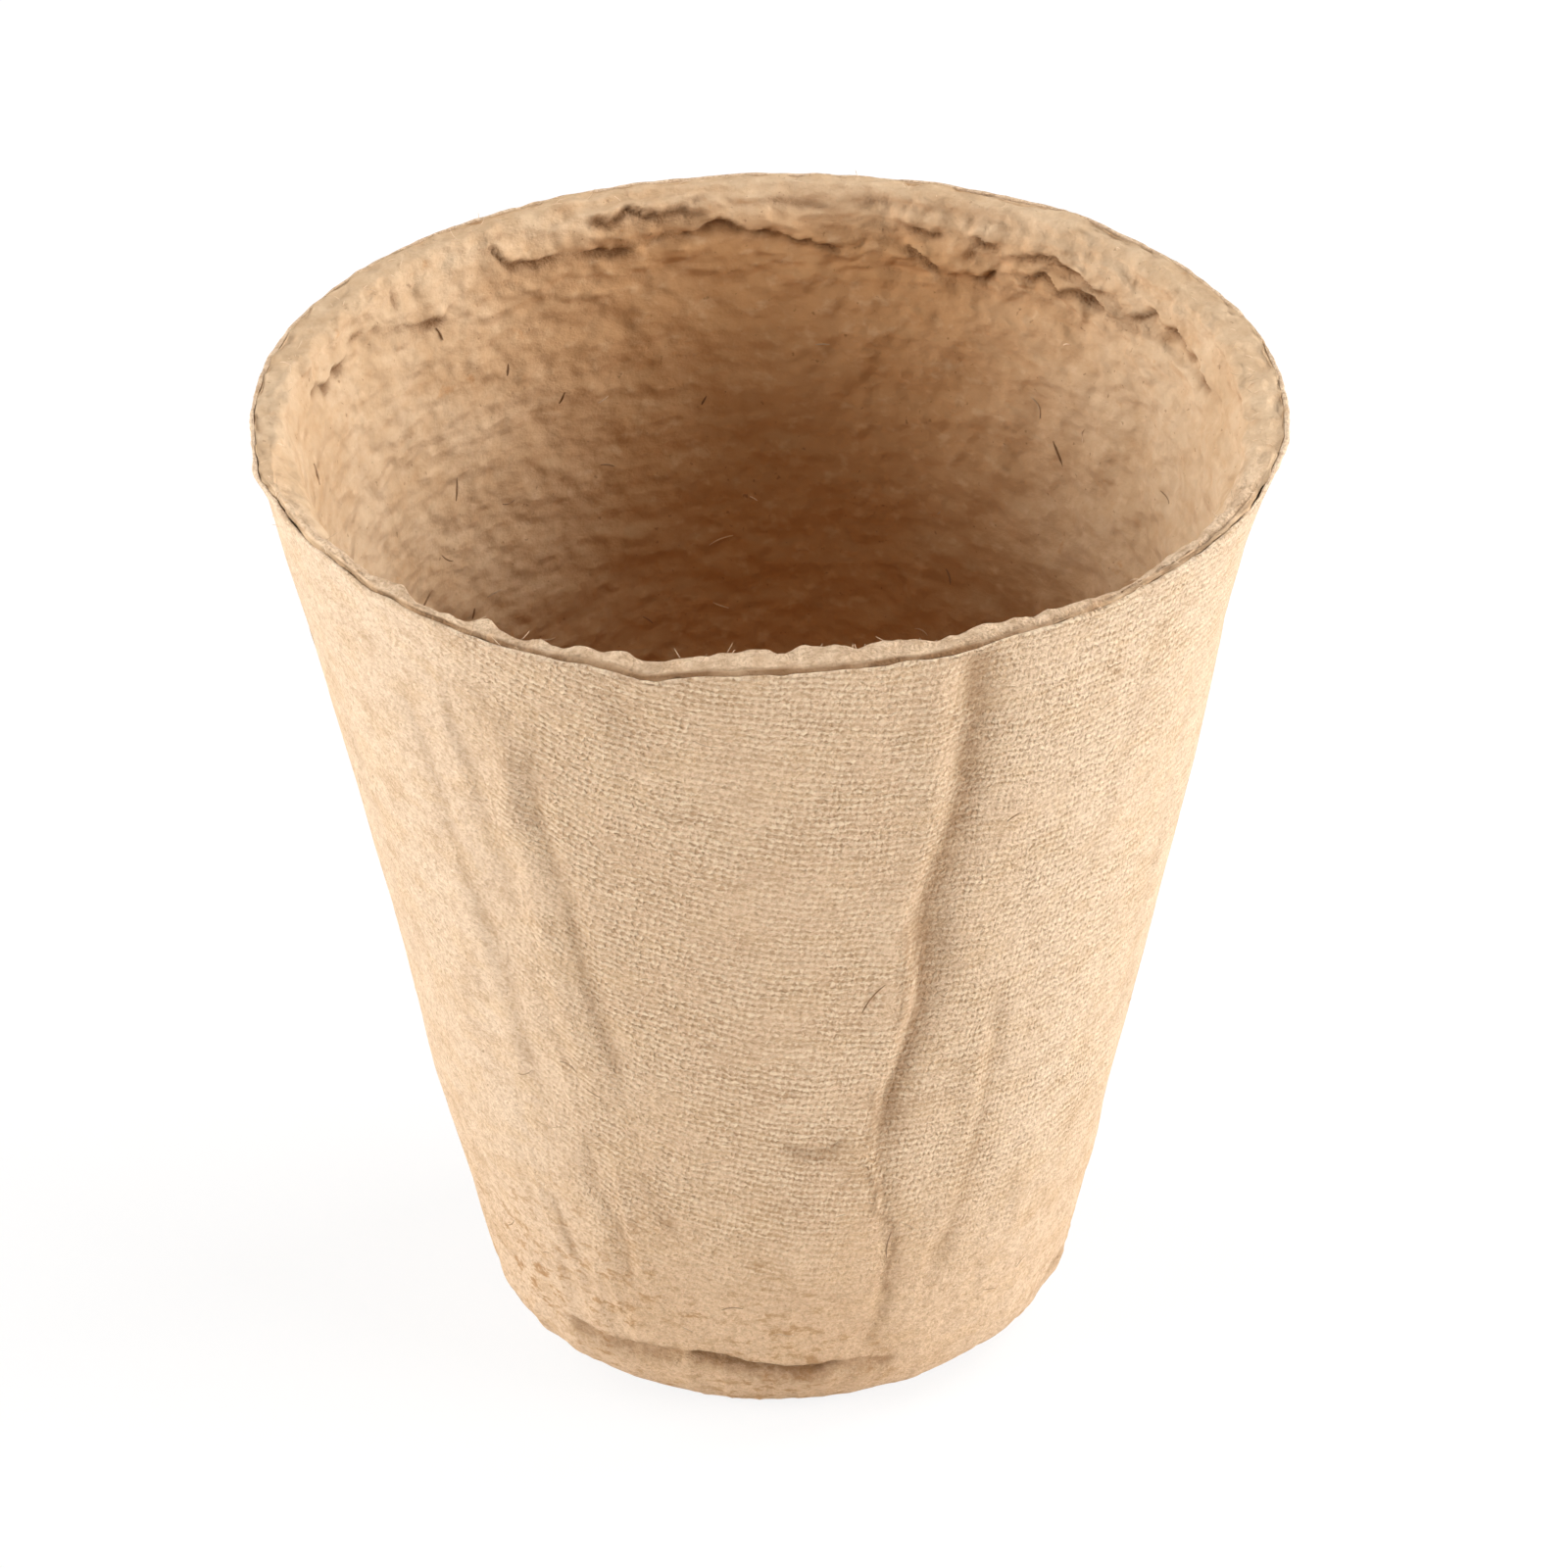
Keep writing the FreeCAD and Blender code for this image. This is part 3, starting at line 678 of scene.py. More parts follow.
def lip_profile(azimuth):
    """The felt's profile from the seam over the crown and down the room, and where on it the split ends."""
    top, low = edge_height(azimuth), skin_top(azimuth)
    seam = seam_radius(azimuth)
    outer = seam - SPLIT_WIDTH * split_share(azimuth)
    inner = np.minimum(lip_edge(azimuth), outer - 0.45)
    raw = torn_share(azimuth)
    crown = top + raw * (0.16 + ring_noise(115, azimuth, 3.2, 4) * 0.15) - 0.04 * (1 - raw)
    teeth = raw * (0.06 + ring_noise(116, azimuth, 1.3, 3) * 0.10)
    bevel = 0.16 + 0.49 * (1 - raw)

    def room(down):
        return room_shape(azimuth, POT_HEIGHT - down)

    stations = [
        (seam - 0.10, low - 0.26),
        (seam - 0.02, low - 0.03),
        (outer - 0.08, crown - 0.08 - 0.06 * raw),
        (outer * 0.72 + inner * 0.28, crown - 0.08 * raw),
        (outer * 0.25 + inner * 0.75, crown - 0.05 + teeth),
        (inner + 0.05, crown - bevel + 0.6 * teeth),
        (inner * 0.55 + room(1.3) * 0.45, top - 0.55 - bevel),
        (room(1.9), top - 1.9),
        (room(FELT_RIM_ZONE), lifted(azimuth, POT_HEIGHT - FELT_RIM_ZONE)),
    ]
    radius, height = through(stations, (3, 2, 4, 5, 3, 3, 5, 28))
    return radius, height, 0.20 + np.hypot(seam - outer, top - low)


def split_groove(azimuth, run, past):
    """How much painted shade darkens the groove between the plies; past is the length beyond the end of the
    split.
    """
    groove = (1 - smooth((past - 0.02) / 0.16)) * smooth(2.4 * split_share(azimuth) - 0.3)
    groove = groove * np.clip(0.85 + 0.5 * layered_noise(125, azimuth, run, 1.6, 0.5, 2), 0, 1)
    return groove * (0.45 + 0.55 * between(azimuth, *GAPING))


def add_lip(ply, azimuth):
    """The torn lip and the felt just below it."""
    radius, height, split_end = lip_profile(azimuth)
    run = along(radius, height)
    past = run - split_end
    below = smooth((POT_HEIGHT - 1.4 - height) / 0.9)
    pale = smooth(past / 0.2) * (1 - below) * torn_share(azimuth)
    inside = smooth((POT_HEIGHT - 0.3 - height) / 0.8) * (run > 2.0)
    torn_push, cavity = torn_relief(azimuth, height)
    felt = felt_relief(azimuth, FELT_RUN - height)
    grain = layered_noise(121, azimuth, run, 1.3, 0.7, 2) * 0.12
    crumbly = 1.4 - 0.8 * inside + 1.1 * inside * between(azimuth, *RAGGED)
    rope = bell((past - 0.25) / 0.20) * between(azimuth, -66, -18, 14)
    groove = split_groove(azimuth, run, past)
    push = (felt + torn_push) * inside + grain * crumbly - 0.22 * rope
    radius, height = pushed(radius, height, push)
    # Painted shade in the torn crevices and pits, the groove between the plies and the sunk rope line.
    cavity = np.maximum(np.maximum(cavity * inside, groove), rope * 0.4)
    ply.add(azimuth, radius, height, pale=pale, cavity=cavity, stain=room_painted_shade(azimuth, height))


def add_room_wall(ply, azimuth):
    """The felted wall of the room, from below the lip down to the bend."""
    heights = rows(np.linspace(POT_HEIGHT - 8.0, FLOOR_TOP + ROOM_BEND, 104), azimuth)
    torn_push, cavity = torn_relief(azimuth, heights)
    push = felt_relief(azimuth, FELT_RUN - heights) + torn_push
    radius, height = pushed(room_shape(azimuth, heights), lifted(azimuth, heights), push)
    ply.add(azimuth, radius, height, cavity=cavity, stain=room_painted_shade(azimuth, height))


def add_room_floor(ply, azimuth):
    """The bend at the foot of the room's wall, and the outer part of its floor."""
    turn = np.linspace(0, math.pi / 2, 8)[1:]
    inwards = rows((HEEL_RADIUS - FLOOR_TOP) * (1 - np.cos(turn)), azimuth)
    floor = rows([14.5, 12, 10, 8], azimuth)
    radius = np.concatenate([room_shape(azimuth, FLOOR_TOP + ROOM_BEND) - inwards, floor])
    bend = rows(FLOOR_TOP + ROOM_BEND * (1 - np.sin(turn)), azimuth)
    height = np.concatenate([bend, np.full_like(floor, FLOOR_TOP)])
    felt = felt_relief(azimuth, FELT_RUN - FLOOR_TOP + along(radius, height))
    radius, height = pushed(radius, height, felt * 0.6)
    ply.add(azimuth, radius, height, stain=1.0)


def build_felt(material):
    """The inner ply, from the drain hole out and up behind the felt, over the lip, and down the room."""
    ply = Ply("inner_ply_felt")
    inset = OUTER_WALL + PLY_GAP
    ply.add(HIDDEN, rows([DRAIN_RADIUS, 10, FOOT_RADIUS + 1.4], HIDDEN), inset)
    heights = rows([5, 15, 30, 45, 60, 72, 76.5], HIDDEN)
    ply.add(HIDDEN, wall_shape(HIDDEN, heights) - inset - 0.15, heights)
    ply.add(WALL, wall_shape(WALL, 78) - inset - 0.25, 77.6)
    add_lip(ply, RIM)
    add_room_wall(ply, WALL)
    add_room_floor(ply, WALL)
    floor = rows([6, DRAIN_RADIUS + 0.4, DRAIN_RADIUS], HIDDEN)
    ply.add(HIDDEN, floor, rows([FLOOR_TOP, FLOOR_TOP - 0.1, FLOOR_TOP - 0.5], HIDDEN), stain=1.0)
    ply.build("inner_ply", material)


# Fibres that lie on a wall: azimuth, height, turn from level in degrees, length, bend in degrees and tone.
SKIN_FIBRES = (
    (-74.7, 47.9, 238, 3.3, 26, 0), (-58, 62, 200, 1.3, 30, 0.1),
    (-120.5, 36, 150, 1.6, 60, 0.25), (-96, 13, 190, 1.8, 40, 0.2), (-70.3, 20.5, 265, 3, 25, 0.2),
    (22, 55, 160, 2.2, 50, 0), (102, 34, 200, 2.6, -40, 0.1), (160, 61, 240, 1.8, 35, 0.2),
)
FELT_FIBRES = (
    (118.8, 65.6, 300, 1.1, 20, 0), (139, 62.4, 290, 1.9, 15, 0.2), (148, 54.9, 335, 3.6, -15, 0.05),
    (140.4, 51.2, 300, 0.9, 10, 0), (173, 74, 280, 1.8, 30, 0.35), (98.2, 62.9, 300, 0.9, 10, 0),
    (126.6, 69.2, 285, 1, 20, 0.1), (137.4, 74.6, 250, 1.2, 30, 0.2), (46.4, 63.4, 235, 2.3, 25, 0.1),
    (28, 55, 260, 1.8, 30, 0.3), (62, 50, 250, 1.5, 20, 0.25), (12, 62, 280, 1.6, 30, 0.3),
    (-40, 58, 240, 2, 30, 0.1), (-100, 60, 300, 1.6, 30, 0.1), (-150, 50, 260, 2.2, 30, 0.2),
)
# Radii of the fibres on the walls and on the lip, and how many of each are strewn by chance.
WALL_FIBRE = 0.065
LIP_FIBRE = 0.026
STREWN_ON_WALL = 110
STREWN_ON_LIP = 170
# Points along a fibre and corners round it, and a direction that no fibre follows.
FIBRE_POINTS = 9
FIBRE_SIDES = 6
FIBRE_ASIDE = (0.31, 0.17, 0.93)


def skin_surface(azimuth, height):
    return wall_shape(azimuth, height) + skin_relief(azimuth, height)[0]


def felt_surface(azimuth, height):
    return room_shape(azimuth, height) - felt_relief(azimuth, FELT_RUN - height)


def wall_fibre(surface, azimuth, height, turn, length, bend):
    """Path of a fibre that lies half sunk in a wall."""
    step = length / (FIBRE_POINTS - 1)
    heading = np.radians(turn + bend * np.linspace(-0.5, 0.5, FIBRE_POINTS))
    heights = height + np.cumsum(np.sin(heading) * step)
    azimuths = azimuth + np.degrees(np.cumsum(np.cos(heading) * step) / cone_radius(height))
    radius, angle = surface(azimuths, heights), np.radians(azimuths)
    return np.stack([radius * np.cos(angle), radius * np.sin(angle), lifted(azimuths, heights)], -1)


def lip_fibre(random, azimuth):
    """Path of a fibre that stands out of the torn lip and bends over."""
    length = random.uniform(0.4, 1.3)
    heading, climb = random.uniform(0, 360), random.uniform(5, 42)
    bend = np.linspace(0, random.uniform(-70, 50), FIBRE_POINTS)
    turn = np.radians(heading + bend * random.uniform(-1, 1))
    rise = np.radians(climb + bend)
    steps = np.stack([np.cos(turn) * np.cos(rise), np.sin(turn) * np.cos(rise), np.sin(rise)], -1)
    radius = lip_edge(azimuth) + random.uniform(0.1, 1.6)
    angle = math.radians(azimuth)
    start = (radius * math.cos(angle), radius * math.sin(angle), edge_height(azimuth) + 0.02)
    return start + np.cumsum(steps * length / FIBRE_POINTS, axis=0)


def fibre_tube(path, thickness):
    """Corners of a thin tube round a path, drawn out at both ends."""
    ahead = np.gradient(path, axis=0)
    ahead = ahead / np.linalg.norm(ahead, axis=1)[:, None]
    side = np.cross(ahead, FIBRE_ASIDE)
    side = side / np.linalg.norm(side, axis=1)[:, None]
    other = np.cross(ahead, side)
    slim = thickness * np.sin(np.linspace(0.25, math.pi - 0.25, len(path))) ** 0.6
    turn = np.arange(FIBRE_SIDES) * 2 * math.pi / FIBRE_SIDES
    ring = np.cos(turn)[None, :, None] * side[:, None] + np.sin(turn)[None, :, None] * other[:, None]
    return path[:, None] + slim[:, None, None] * ring


def tube_faces(start):
    """Faces of one tube, whose corners begin at a number; both ends are closed."""
    faces = []
    last = start + (FIBRE_POINTS - 1) * FIBRE_SIDES
    for low in range(start, last, FIBRE_SIDES):
        for side in range(FIBRE_SIDES):
            a, b = low + side, low + (side + 1) % FIBRE_SIDES
            faces.append((a, b, b + FIBRE_SIDES, a + FIBRE_SIDES))
    faces.append(tuple(range(start + FIBRE_SIDES - 1, start - 1, -1)))
    faces.append(tuple(range(last, last + FIBRE_SIDES)))
    return faces


def scattered(random, low, high):
    """Fibres strewn over a wall, in the same terms as the tables."""
    for _ in range(STREWN_ON_WALL):
        turn = random.choice((0, 180)) + random.normal(0, 35)
        yield (random.uniform(-180, 180), random.uniform(low, high), turn, random.uniform(0.6, 2.4),
               random.uniform(-60, 60), random.choice((0.15, 0.5, 0.8, 1.0)))


def build_fibres(name, fibres, material):
    """One piece of loose fibres, each a path, a thickness and a tone."""
    points, faces, tones = [], [], []
    for path, thickness, tone in fibres:
        faces.extend(tube_faces(len(points)))
        corners = fibre_tube(path, thickness).reshape(-1, 3)
        points.extend(corners)
        tones.extend([tone] * len(corners))
    make_piece(name, points, faces, {"tone": tones}, material)


def lying_fibres(surface, table, thickness):
    for azimuth, height, turn, length, bend, tone in table:
        yield wall_fibre(surface, azimuth, height, turn, length, bend), thickness, tone


def make_loose_fibres():
    """The fibres of each ply: those of its table, those strewn over it, and those along the lip."""
    material = make_fibre_material()
    random = np.random.default_rng(131)
    skin = list(lying_fibres(skin_surface, SKIN_FIBRES, WALL_FIBRE))
    skin += lying_fibres(skin_surface, scattered(random, 8, 76), 0.6 * WALL_FIBRE)
    build_fibres("skin_fibres", skin, material)
    felt = list(lying_fibres(felt_surface, FELT_FIBRES, 1.6 * WALL_FIBRE))
    felt += lying_fibres(felt_surface, scattered(random, 8, 72), WALL_FIBRE)
    for azimuth in random.uniform(-180, 180, STREWN_ON_LIP):
        felt.append((lip_fibre(random, azimuth), LIP_FIBRE, random.choice((0.5, 0.8, 1.0))))
    build_fibres("felt_fibres", felt, material)


class Nodes:
    """Small helper round the nodes of a material or a world."""

    def __init__(self, owner):
        self.owner = owner
        self.places = {}
        owner.use_nodes = True
        self.tree = owner.node_tree
        self.tree.nodes.clear()

    def plug(self, value, socket):
        if hasattr(value, "is_linked"):
            self.tree.links.new(value, socket)
        else:
            socket.default_value = value

    def add(self, kind, inputs=(), **settings):
        """Outputs of a new node, with its inputs by name or number and its settings by name."""
        node = self.tree.nodes.new("ShaderNode" + kind)
        for name, value in settings.items():
            setattr(node, name, value)
        for key, value in dict(inputs).items():
            self.plug(value, node.inputs[key])
        return node.outputs

    def math(self, operation, *values):
        return self.add("Math", enumerate(values), operation=operation)[0]

    def times(self, first, second):
        return self.math("MULTIPLY", first, second)

    def total(self, first, *others):
        """The sum of some values, each given with its scale."""
        total = self.times(*first)
        for value, scale in others:
            total = self.math("MULTIPLY_ADD", value, scale, total)
        return total

    def spread(self, value, low, high, to_low=0.0, to_high=1.0):
        """An eased step of a value, from one end to the other."""
        numbers = (value, low, high, to_low, to_high)
        return self.add("MapRange", enumerate(numbers), interpolation_type="SMOOTHSTEP")[0]

    def blend(self, share, first, second):
        """Two colours blended; each is a socket or red, green and blue."""
        colours = [(*colour, 1) if isinstance(colour, tuple) else colour for colour in (first, second)]
        return self.add("Mix", {0: share, 6: colours[0], 7: colours[1]}, data_type="RGBA")[2]

    def tint(self, colour, share, strength, tone):
        """A colour turned towards a tone."""
        return self.blend(self.times(share, strength), colour, tone)

    def layer(self, name):
        return self.add("Attribute", attribute_name=name)["Fac"]

    def scaled(self, place, level, upright):
        return self.add("VectorMath", {0: place, 1: (level, level, upright)}, operation="MULTIPLY")[0]

    def measure(self, **squeezes):
        """Keeps the place on the pot in millimetres, as it is and with its height squeezed or drawn out."""
        even = self.scaled(self.add("TexCoord")["Object"], 1 / MM, 1 / MM)
        self.places["even"] = even
        for name, squeeze in squeezes.items():
            self.places[name] = self.scaled(even, 1.0, squeeze)

    def noise(self, place, scale, detail=3.0, roughness=0.55):
        """Noise from 0 to 1, mostly near the middle, at a place by name; scale is in cells per millimetre."""
        inputs = {"Vector": self.places[place], "Scale": scale, "Detail": detail, "Roughness": roughness}
        return self.add("TexNoise", inputs)["Fac"]

    def drift(self, *noise):
        """Noise about 0, with what noise is given."""
        return self.math("SUBTRACT", self.noise(*noise), 0.5)

    def patches(self, noise, *steps):
        """Patches of noise: what noise is given, then what spread is."""
        return self.spread(self.noise(*noise), *steps)

    def tinted(self, colour, table):
        """A colour with patches of other tones laid over it one by one."""
        for noise, low, high, strength, tone in table:
            colour = self.tint(colour, self.patches(noise, low, high), strength, tone)
        return colour

    def seen(self):
        """1 for rays from the camera, and for mirror and glass rays, else 0."""
        path = self.add("LightPath")
        mirrored = self.math("MAXIMUM", path["Is Glossy Ray"], path["Is Transmission Ray"])
        return self.math("MAXIMUM", path["Is Camera Ray"], mirrored)

    def finish(self, colour, height, strength=1.0):
        """Dry fibre: dull, with a little fuzz at grazing angles, and bumps whose height is in millimetres."""
        bump = self.add("Bump", {"Strength": strength, "Distance": MM, "Height": height})
        fuzz = {"Sheen Weight": 0.06, "Sheen Roughness": 0.5, "Sheen Tint": (1.0, 0.72, 0.45, 1)}
        dull = {"Roughness": 0.93, "Specular IOR Level": 0.10}
        surface = self.add("BsdfPrincipled", {"Base Color": colour, "Normal": bump[0], **dull, **fuzz})
        self.add("OutputMaterial", {"Surface": surface[0]})
        return self.owner


# The cloth's threads: upright ones round the pot, pitch of the rows along the wall, and length of the leaning
# wall for its height; then how many rows the cloth slips in one round, how much of that varies, and how far
# the upright threads lean.
THREADS_ROUND = 334
ROW_PITCH = 0.66
WALL_STRETCH = 1.022
ROWS_SLIPPED = 88
SLIP_SWING = 6.5
THREAD_LEAN = -0.42


def thread_wave(nodes, turns):
    """A wave from 0 to 1 for each full turn."""
    wave = nodes.math("COSINE", nodes.times(turns, 2 * math.pi))
    return nodes.math("MULTIPLY_ADD", wave, 0.5, 0.5)


def cloth_print(nodes):
    """Imprint of the mould's cloth: 1 in the pits where its threads left gaps, and below 0 on the threads."""
    across, depth, height = nodes.add("SeparateXYZ", {0: nodes.places["even"]})
    angle = nodes.math("ARCTAN2", across, nodes.times(depth, -1.0))
    jitter = nodes.drift("even", 0.9, 3.0, 0.65)
    fray = nodes.drift("even", 2.3, 2.0, 0.6)
    askew = nodes.math("COSINE", nodes.math("ADD", angle, 0.6))
    askew = nodes.math("MULTIPLY_ADD", askew, 0.5, 0.5)
    thread = nodes.total(
        (angle, THREADS_ROUND / (2 * math.pi)), (nodes.times(askew, height), THREAD_LEAN),
        (nodes.drift("even", 0.10, 2.0), 4.0), (jitter, 1.9), (fray, 1.4),
    )
    swing = nodes.math("COSINE", nodes.math("MULTIPLY_ADD", angle, 2.0, 0.42))
    row = nodes.total(
        (height, WALL_STRETCH / ROW_PITCH), (angle, ROWS_SLIPPED / (2 * math.pi)), (swing, SLIP_SWING),
        (nodes.drift("tall", 0.09, 2.0), 4.0), (jitter, 1.1), (fray, -1.1),
    )
    gaps = nodes.total((thread_wave(nodes, row), 0.62), (thread_wave(nodes, thread), 0.38))
    return nodes.math("MULTIPLY_ADD", nodes.math("POWER", gaps, 2.0), 1.60, -0.42)


# Patches on the plies, laid one over another: noise, where a patch begins and is full, strength and tone.
SKIN_TINTS = (
    (("flat", 0.22, 4.0, 0.62), 0.46, 0.64, 0.45, (0.77, 0.52, 0.295)),
    (("flat", 0.24, 5.0, 0.66), 0.48, 0.70, 0.46, (0.50, 0.305, 0.170)),
    (("flat", 1.5, 5.0, 0.70), 0.36, 0.66, 0.26, (0.50, 0.305, 0.165)),
    (("flat", 2.0, 4.0, 0.70), 0.52, 0.72, 0.36, (0.88, 0.68, 0.47)),
)
FELT_TINTS = (
    (("flat", 0.34, 5.0, 0.62), 0.46, 0.70, 0.30, (0.46, 0.25, 0.11)),
    (("even", 0.90, 4.0, 0.62), 0.38, 0.64, 0.14, (0.48, 0.275, 0.135)),
    (("flat", 0.70, 3.0, 0.50), 0.52, 0.74, 0.25, (0.84, 0.62, 0.40)),
    (("even", 0.50, 3.0, 0.60), 0.66, 0.78, 0.45, (0.52, 0.25, 0.09)),
    (("even", 1.70, 2.0, 0.50), 0.69, 0.76, 0.50, (0.24, 0.12, 0.05)),
)


def skin_pits(nodes):
    """The cloth's print with its strength on each part of the skin."""
    pits = nodes.times(cloth_print(nodes), nodes.layer("weave"))
    patchy = nodes.patches(("even", 0.28, 3.0), 0.30, 0.56, 0.60, 1.1)
    uneven = nodes.patches(("flat", 1.2, 3.0, 0.65), 0.36, 0.60, 0.35, 1.25)
    return nodes.times(pits, nodes.times(patchy, uneven))


def skin_pulp(nodes, pits):
    """Colour of the clean skin: clouds and streaks of the pulp, the painted light on its sides, and the
    cloth's print with painted highlights on its threads and painted shade in its pits.
    """
    blotches = nodes.patches(("even", 0.11, 5.0, 0.62), 0.36, 0.64)
    colour = nodes.blend(blotches, (0.880, 0.625, 0.415), (0.785, 0.535, 0.345))
    # Painted light: the pale layer lightens the sides of the skin; on the torn edge it is the raw colour of
    # the tear.
    colour = nodes.blend(nodes.layer("pale"), colour, (0.97, 0.785, 0.600))
    colour = nodes.tinted(colour, SKIN_TINTS)
    grain = nodes.patches(("flat", 4.2, 4.0, 0.75), 0.38, 0.62, -0.40, 0.32)
    colour = nodes.blend(nodes.math("MAXIMUM", grain, 0.0), colour, (0.50, 0.30, 0.16))
    colour = nodes.tint(colour, nodes.math("MINIMUM", grain, 0.0), -1.0, (0.92, 0.72, 0.51))
    # Painted light: the cloth's threads are painted paler, as the light they catch, and its pits darker, as
    # their shade.
    colour = nodes.tint(colour, nodes.math("MINIMUM", pits, 0.0), -2.2, (0.92, 0.72, 0.50))
    return nodes.tint(colour, nodes.math("MAXIMUM", pits, 0.0), 0.50, (0.46, 0.26, 0.125))


def skin_stains_and_shade(nodes, colour):
    """The skin's colour with its specks, the stains near the foot, and the painted shade of the creases and
    folds with the real stains down the wall.
    """
    across, _, height = nodes.add("SeparateXYZ", {0: nodes.places["even"]})
    near_foot = nodes.spread(height, 32.0, 8.0)
    dirty = nodes.patches(("even", 0.15, 2.0), 0.36, 0.54, 0.35, 1.0)
    dirty = nodes.times(dirty, nodes.spread(across, -4.0, 20.0, 1.0, 0.35))
    specks = nodes.patches(("even", 1.9, 2.0, 0.5), 0.69, 0.75)
    mottle = nodes.patches(("even", 2.3, 3.0, 0.6), 0.47, 0.64)
    stains = nodes.patches(("flat", 0.66, 5.0, 0.70), 0.50, 0.64, 0.0, 0.85)
    stain_and_shade_patches = nodes.patches(("flat", 0.9, 4.0, 0.7), 0.30, 0.62, 0.58, 1.0)
    colour = nodes.tint(colour, specks, 0.55, (0.30, 0.16, 0.07))
    colour = nodes.tint(colour, near_foot, 0.20, (0.72, 0.475, 0.265))
    colour = nodes.tint(colour, mottle, 0.42, (0.50, 0.31, 0.17))
    colour = nodes.tint(colour, stains, nodes.times(near_foot, dirty), (0.47, 0.25, 0.105))
    # Painted shade: the cavity layer darkens the creases and folds, and carries the real stains down the
    # wall.
    return nodes.tint(colour, nodes.times(nodes.layer("cavity"), stain_and_shade_patches), 0.88, (0.26, 0.132, 0.054))


def make_skin_material():
    nodes = Nodes(bpy.data.materials.new("skin"))
    nodes.measure(flat=1.9, tall=0.5)
    pits = skin_pits(nodes)
    fibres, dents = nodes.noise("flat", 2.4, 5.0, 0.70), nodes.noise("even", 0.6, 4.0, 0.6)
    height = nodes.total((pits, -0.13), (fibres, 0.34), (dents, 0.40))
    return nodes.finish(skin_stains_and_shade(nodes, skin_pulp(nodes, pits)), height)


def make_felt_material():
    nodes = Nodes(bpy.data.materials.new("felt"))
    nodes.measure(flat=1.4)
    torn, cavity = nodes.layer("pale"), nodes.layer("cavity")
    pulp, tufts = nodes.noise("flat", 0.70, 3.0, 0.50), nodes.noise("flat", 0.40, 1.0, 0.5)
    fibres = nodes.noise("flat", 3.0, 4.0, 0.6)
    ragged = nodes.math("MULTIPLY_ADD", nodes.math("MAXIMUM", torn, cavity), 0.42, 0.06)
    height = nodes.total((pulp, 0.21), (tufts, 1.0), (fibres, ragged))

    blotches = nodes.patches(("even", 0.12, 5.0, 0.62), 0.36, 0.64)
    colour = nodes.blend(blotches, (0.660, 0.480, 0.310), (0.585, 0.400, 0.240))
    # Painted shade: the room is painted browner towards its floor and at the back, where little light
    # reaches.
    colour = nodes.tint(colour, nodes.layer("stain"), 0.85, (0.560, 0.285, 0.112))
    colour = nodes.tinted(colour, FELT_TINTS)
    raw = nodes.blend(nodes.spread(pulp, 0.35, 0.65), (0.70, 0.485, 0.312), (0.89, 0.660, 0.452))
    raw = nodes.tint(raw, nodes.spread(fibres, 0.46, 0.62), 0.45, (0.47, 0.295, 0.160))
    colour = nodes.tint(colour, torn, 0.92, raw)
    # Painted shade in the crevices and pits of the torn rim and in the groove between the plies.
    return nodes.finish(nodes.tint(colour, cavity, 0.88, (0.235, 0.112, 0.045)), height)


def make_fibre_material():
    nodes = Nodes(bpy.data.materials.new("fibre"))
    nodes.measure(tall=0.4)
    colour = nodes.blend(nodes.layer("tone"), (0.16, 0.075, 0.03), (0.90, 0.70, 0.50))
    colour = nodes.tint(colour, nodes.noise("even", 1.5, 2.0), 0.5, (0.56, 0.36, 0.20))
    return nodes.finish(colour, nodes.noise("tall", 6.0, 2.0), 0.3)


# The camera, fitted to the photograph's frame of 1600 by 1600 pixels.
IMAGE_SIDE = 1600
FOCAL_PIXELS = 9435.0
CAMERA_PLACE = (0.0, -625.4, 431.8)
CAMERA_AIM = (0.974, 0.0, 46.07)
CAMERA_ROLL = -0.805

# The room: strength of its light, side of the floor in metres, and its softboxes, each with its place in
# metres, its width and height, and its power in watts.
AMBIENT_LIGHT = 0.06
FLOOR_SIDE = 12.0
SOFTBOXES = (
    ("left_softbox", (-0.86, -0.29, 0.28), 0.6, 0.5, 10.0),
    ("right_softbox", (0.86, -0.29, 0.28), 0.6, 0.5, 10.6),
    ("top_softbox", (0.0, 0.10, 1.1), 0.6, 0.6, 1.3),
    ("back_left_softbox", (-0.78, 0.40, 0.45), 0.6, 0.6, 3.6),
    ("back_right_softbox", (0.72, 0.32, 0.80), 0.6, 0.6, 6.8),
)


def make_camera():
    """The camera that took the photograph, a little rolled about its own axis."""
    data = bpy.data.cameras.new("camera")
    data.sensor_width = 36.0
    data.lens = FOCAL_PIXELS / IMAGE_SIDE * data.sensor_width
    data.clip_start, data.clip_end = 0.05, 20.0
    camera = placed("camera", data)
    forward = (Vector(CAMERA_AIM) - Vector(CAMERA_PLACE)).normalized()
    right = forward.cross(Vector((0, 0, 1))).normalized()
    up = right.cross(forward)
    roll = math.radians(CAMERA_ROLL)
    turned_right = right * math.cos(roll) + up * math.sin(roll)
    turned_up = up * math.cos(roll) - right * math.sin(roll)
    axes = Matrix((turned_right, turned_up, -forward)).transposed().to_4x4()
    camera.matrix_world = Matrix.Translation(Vector(CAMERA_PLACE) * MM) @ axes
    bpy.context.scene.camera = camera


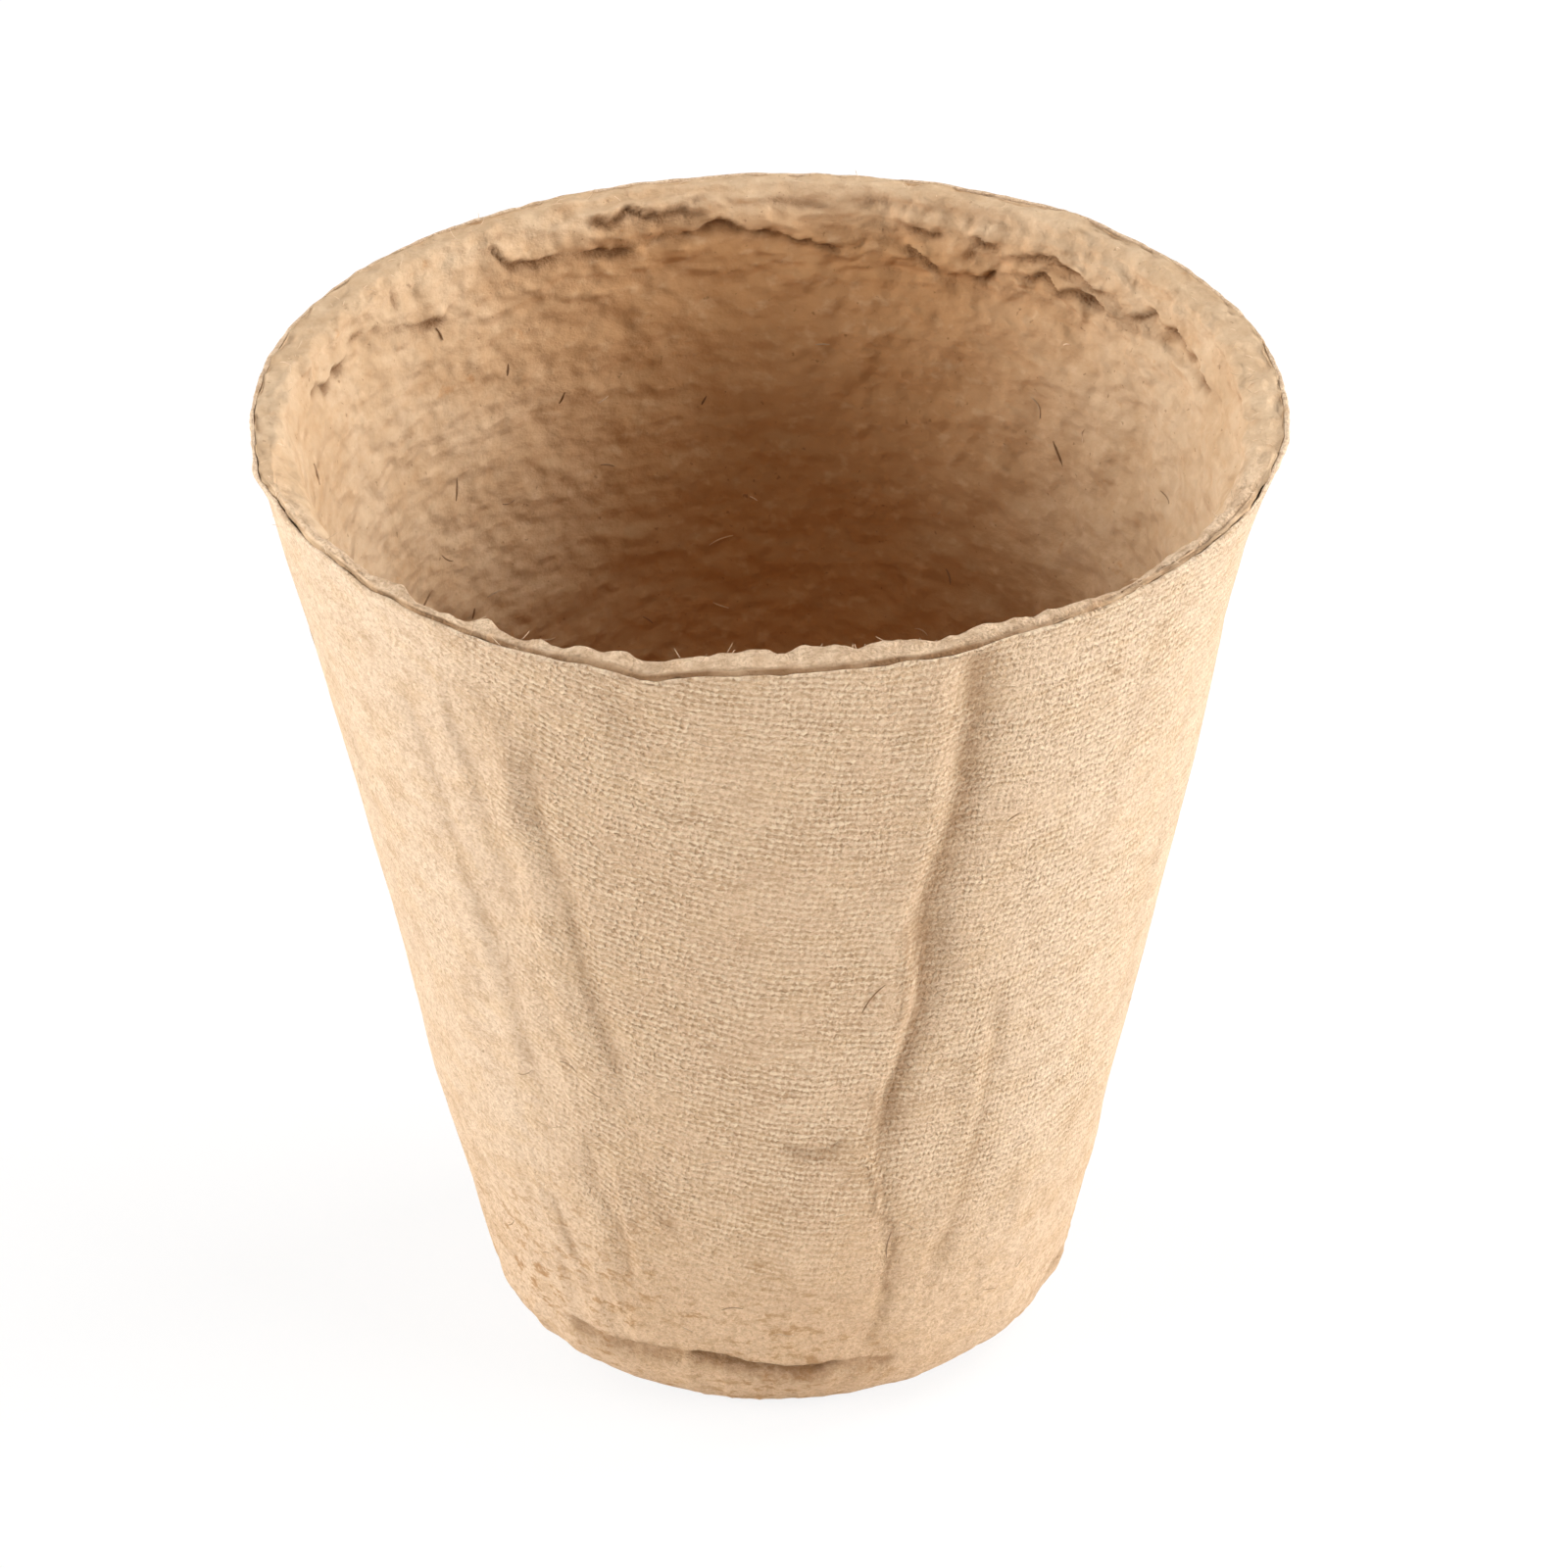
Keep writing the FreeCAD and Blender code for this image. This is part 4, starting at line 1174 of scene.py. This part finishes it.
def make_world():
    """White to the camera, and a faint white light on the pot."""
    world = bpy.data.worlds.new("studio")
    bpy.context.scene.world = world
    nodes = Nodes(world)
    strength = nodes.add("Mix", {0: nodes.seen(), 2: AMBIENT_LIGHT, 3: 1.0})[0]
    surround = nodes.add("Background", {"Color": (1, 1, 1, 1), "Strength": strength})
    nodes.add("OutputWorld", {"Surface": surround[0]})


def make_floor_material():
    nodes = Nodes(bpy.data.materials.new("table"))
    distance = nodes.add("VectorMath", {0: nodes.add("TexCoord")["Object"]}, operation="LENGTH")["Value"]
    faded = nodes.times(nodes.seen(), nodes.spread(distance, 0.15, 0.60, 0.80, 1.0))
    paper = nodes.add("BsdfDiffuse", {"Color": (0.88, 0.88, 0.88, 1)})
    glow = nodes.add("Emission", {"Strength": 1.04})
    mixed = nodes.add("MixShader", {0: faded, 1: paper[0], 2: glow[0]})
    nodes.add("OutputMaterial", {"Surface": mixed[0]})
    return nodes.owner


def make_floor():
    """A white table top that fades into the white surround and keeps the pot's shadow."""
    side = FLOOR_SIDE / 2
    mesh = bpy.data.meshes.new("floor")
    corners = [(-side, -side, 0), (side, -side, 0), (side, side, 0), (-side, side, 0)]
    mesh.from_pydata(corners, [], [(0, 1, 2, 3)])
    mesh.materials.append(make_floor_material())
    floor = placed("floor", mesh)
    floor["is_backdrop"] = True


def make_softbox(name, place, width, height, power):
    """A softbox that faces the middle of the pot."""
    data = bpy.data.lights.new(name, "AREA")
    data.shape = "RECTANGLE"
    data.size, data.size_y = width, height
    data.energy = power
    lamp = placed(name, data)
    lamp.visible_camera = False
    lamp.location = place
    aim = Vector((0, 0, POT_HEIGHT * MM / 2)) - Vector(place)
    lamp.rotation_mode = "QUATERNION"
    lamp.rotation_quaternion = aim.to_track_quat("-Z", "Y")


def write_sizes():
    for name, box in (("cad", cad_box), ("visual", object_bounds())):
        [list(corner) for corner in box]


make_camera()
make_world()
make_floor()
for softbox in SOFTBOXES:
    make_softbox(*softbox)
build_skin(make_skin_material())
build_felt(make_felt_material())
make_loose_fibres()
bpy.context.scene.view_settings.view_transform = "Standard"
write_sizes()
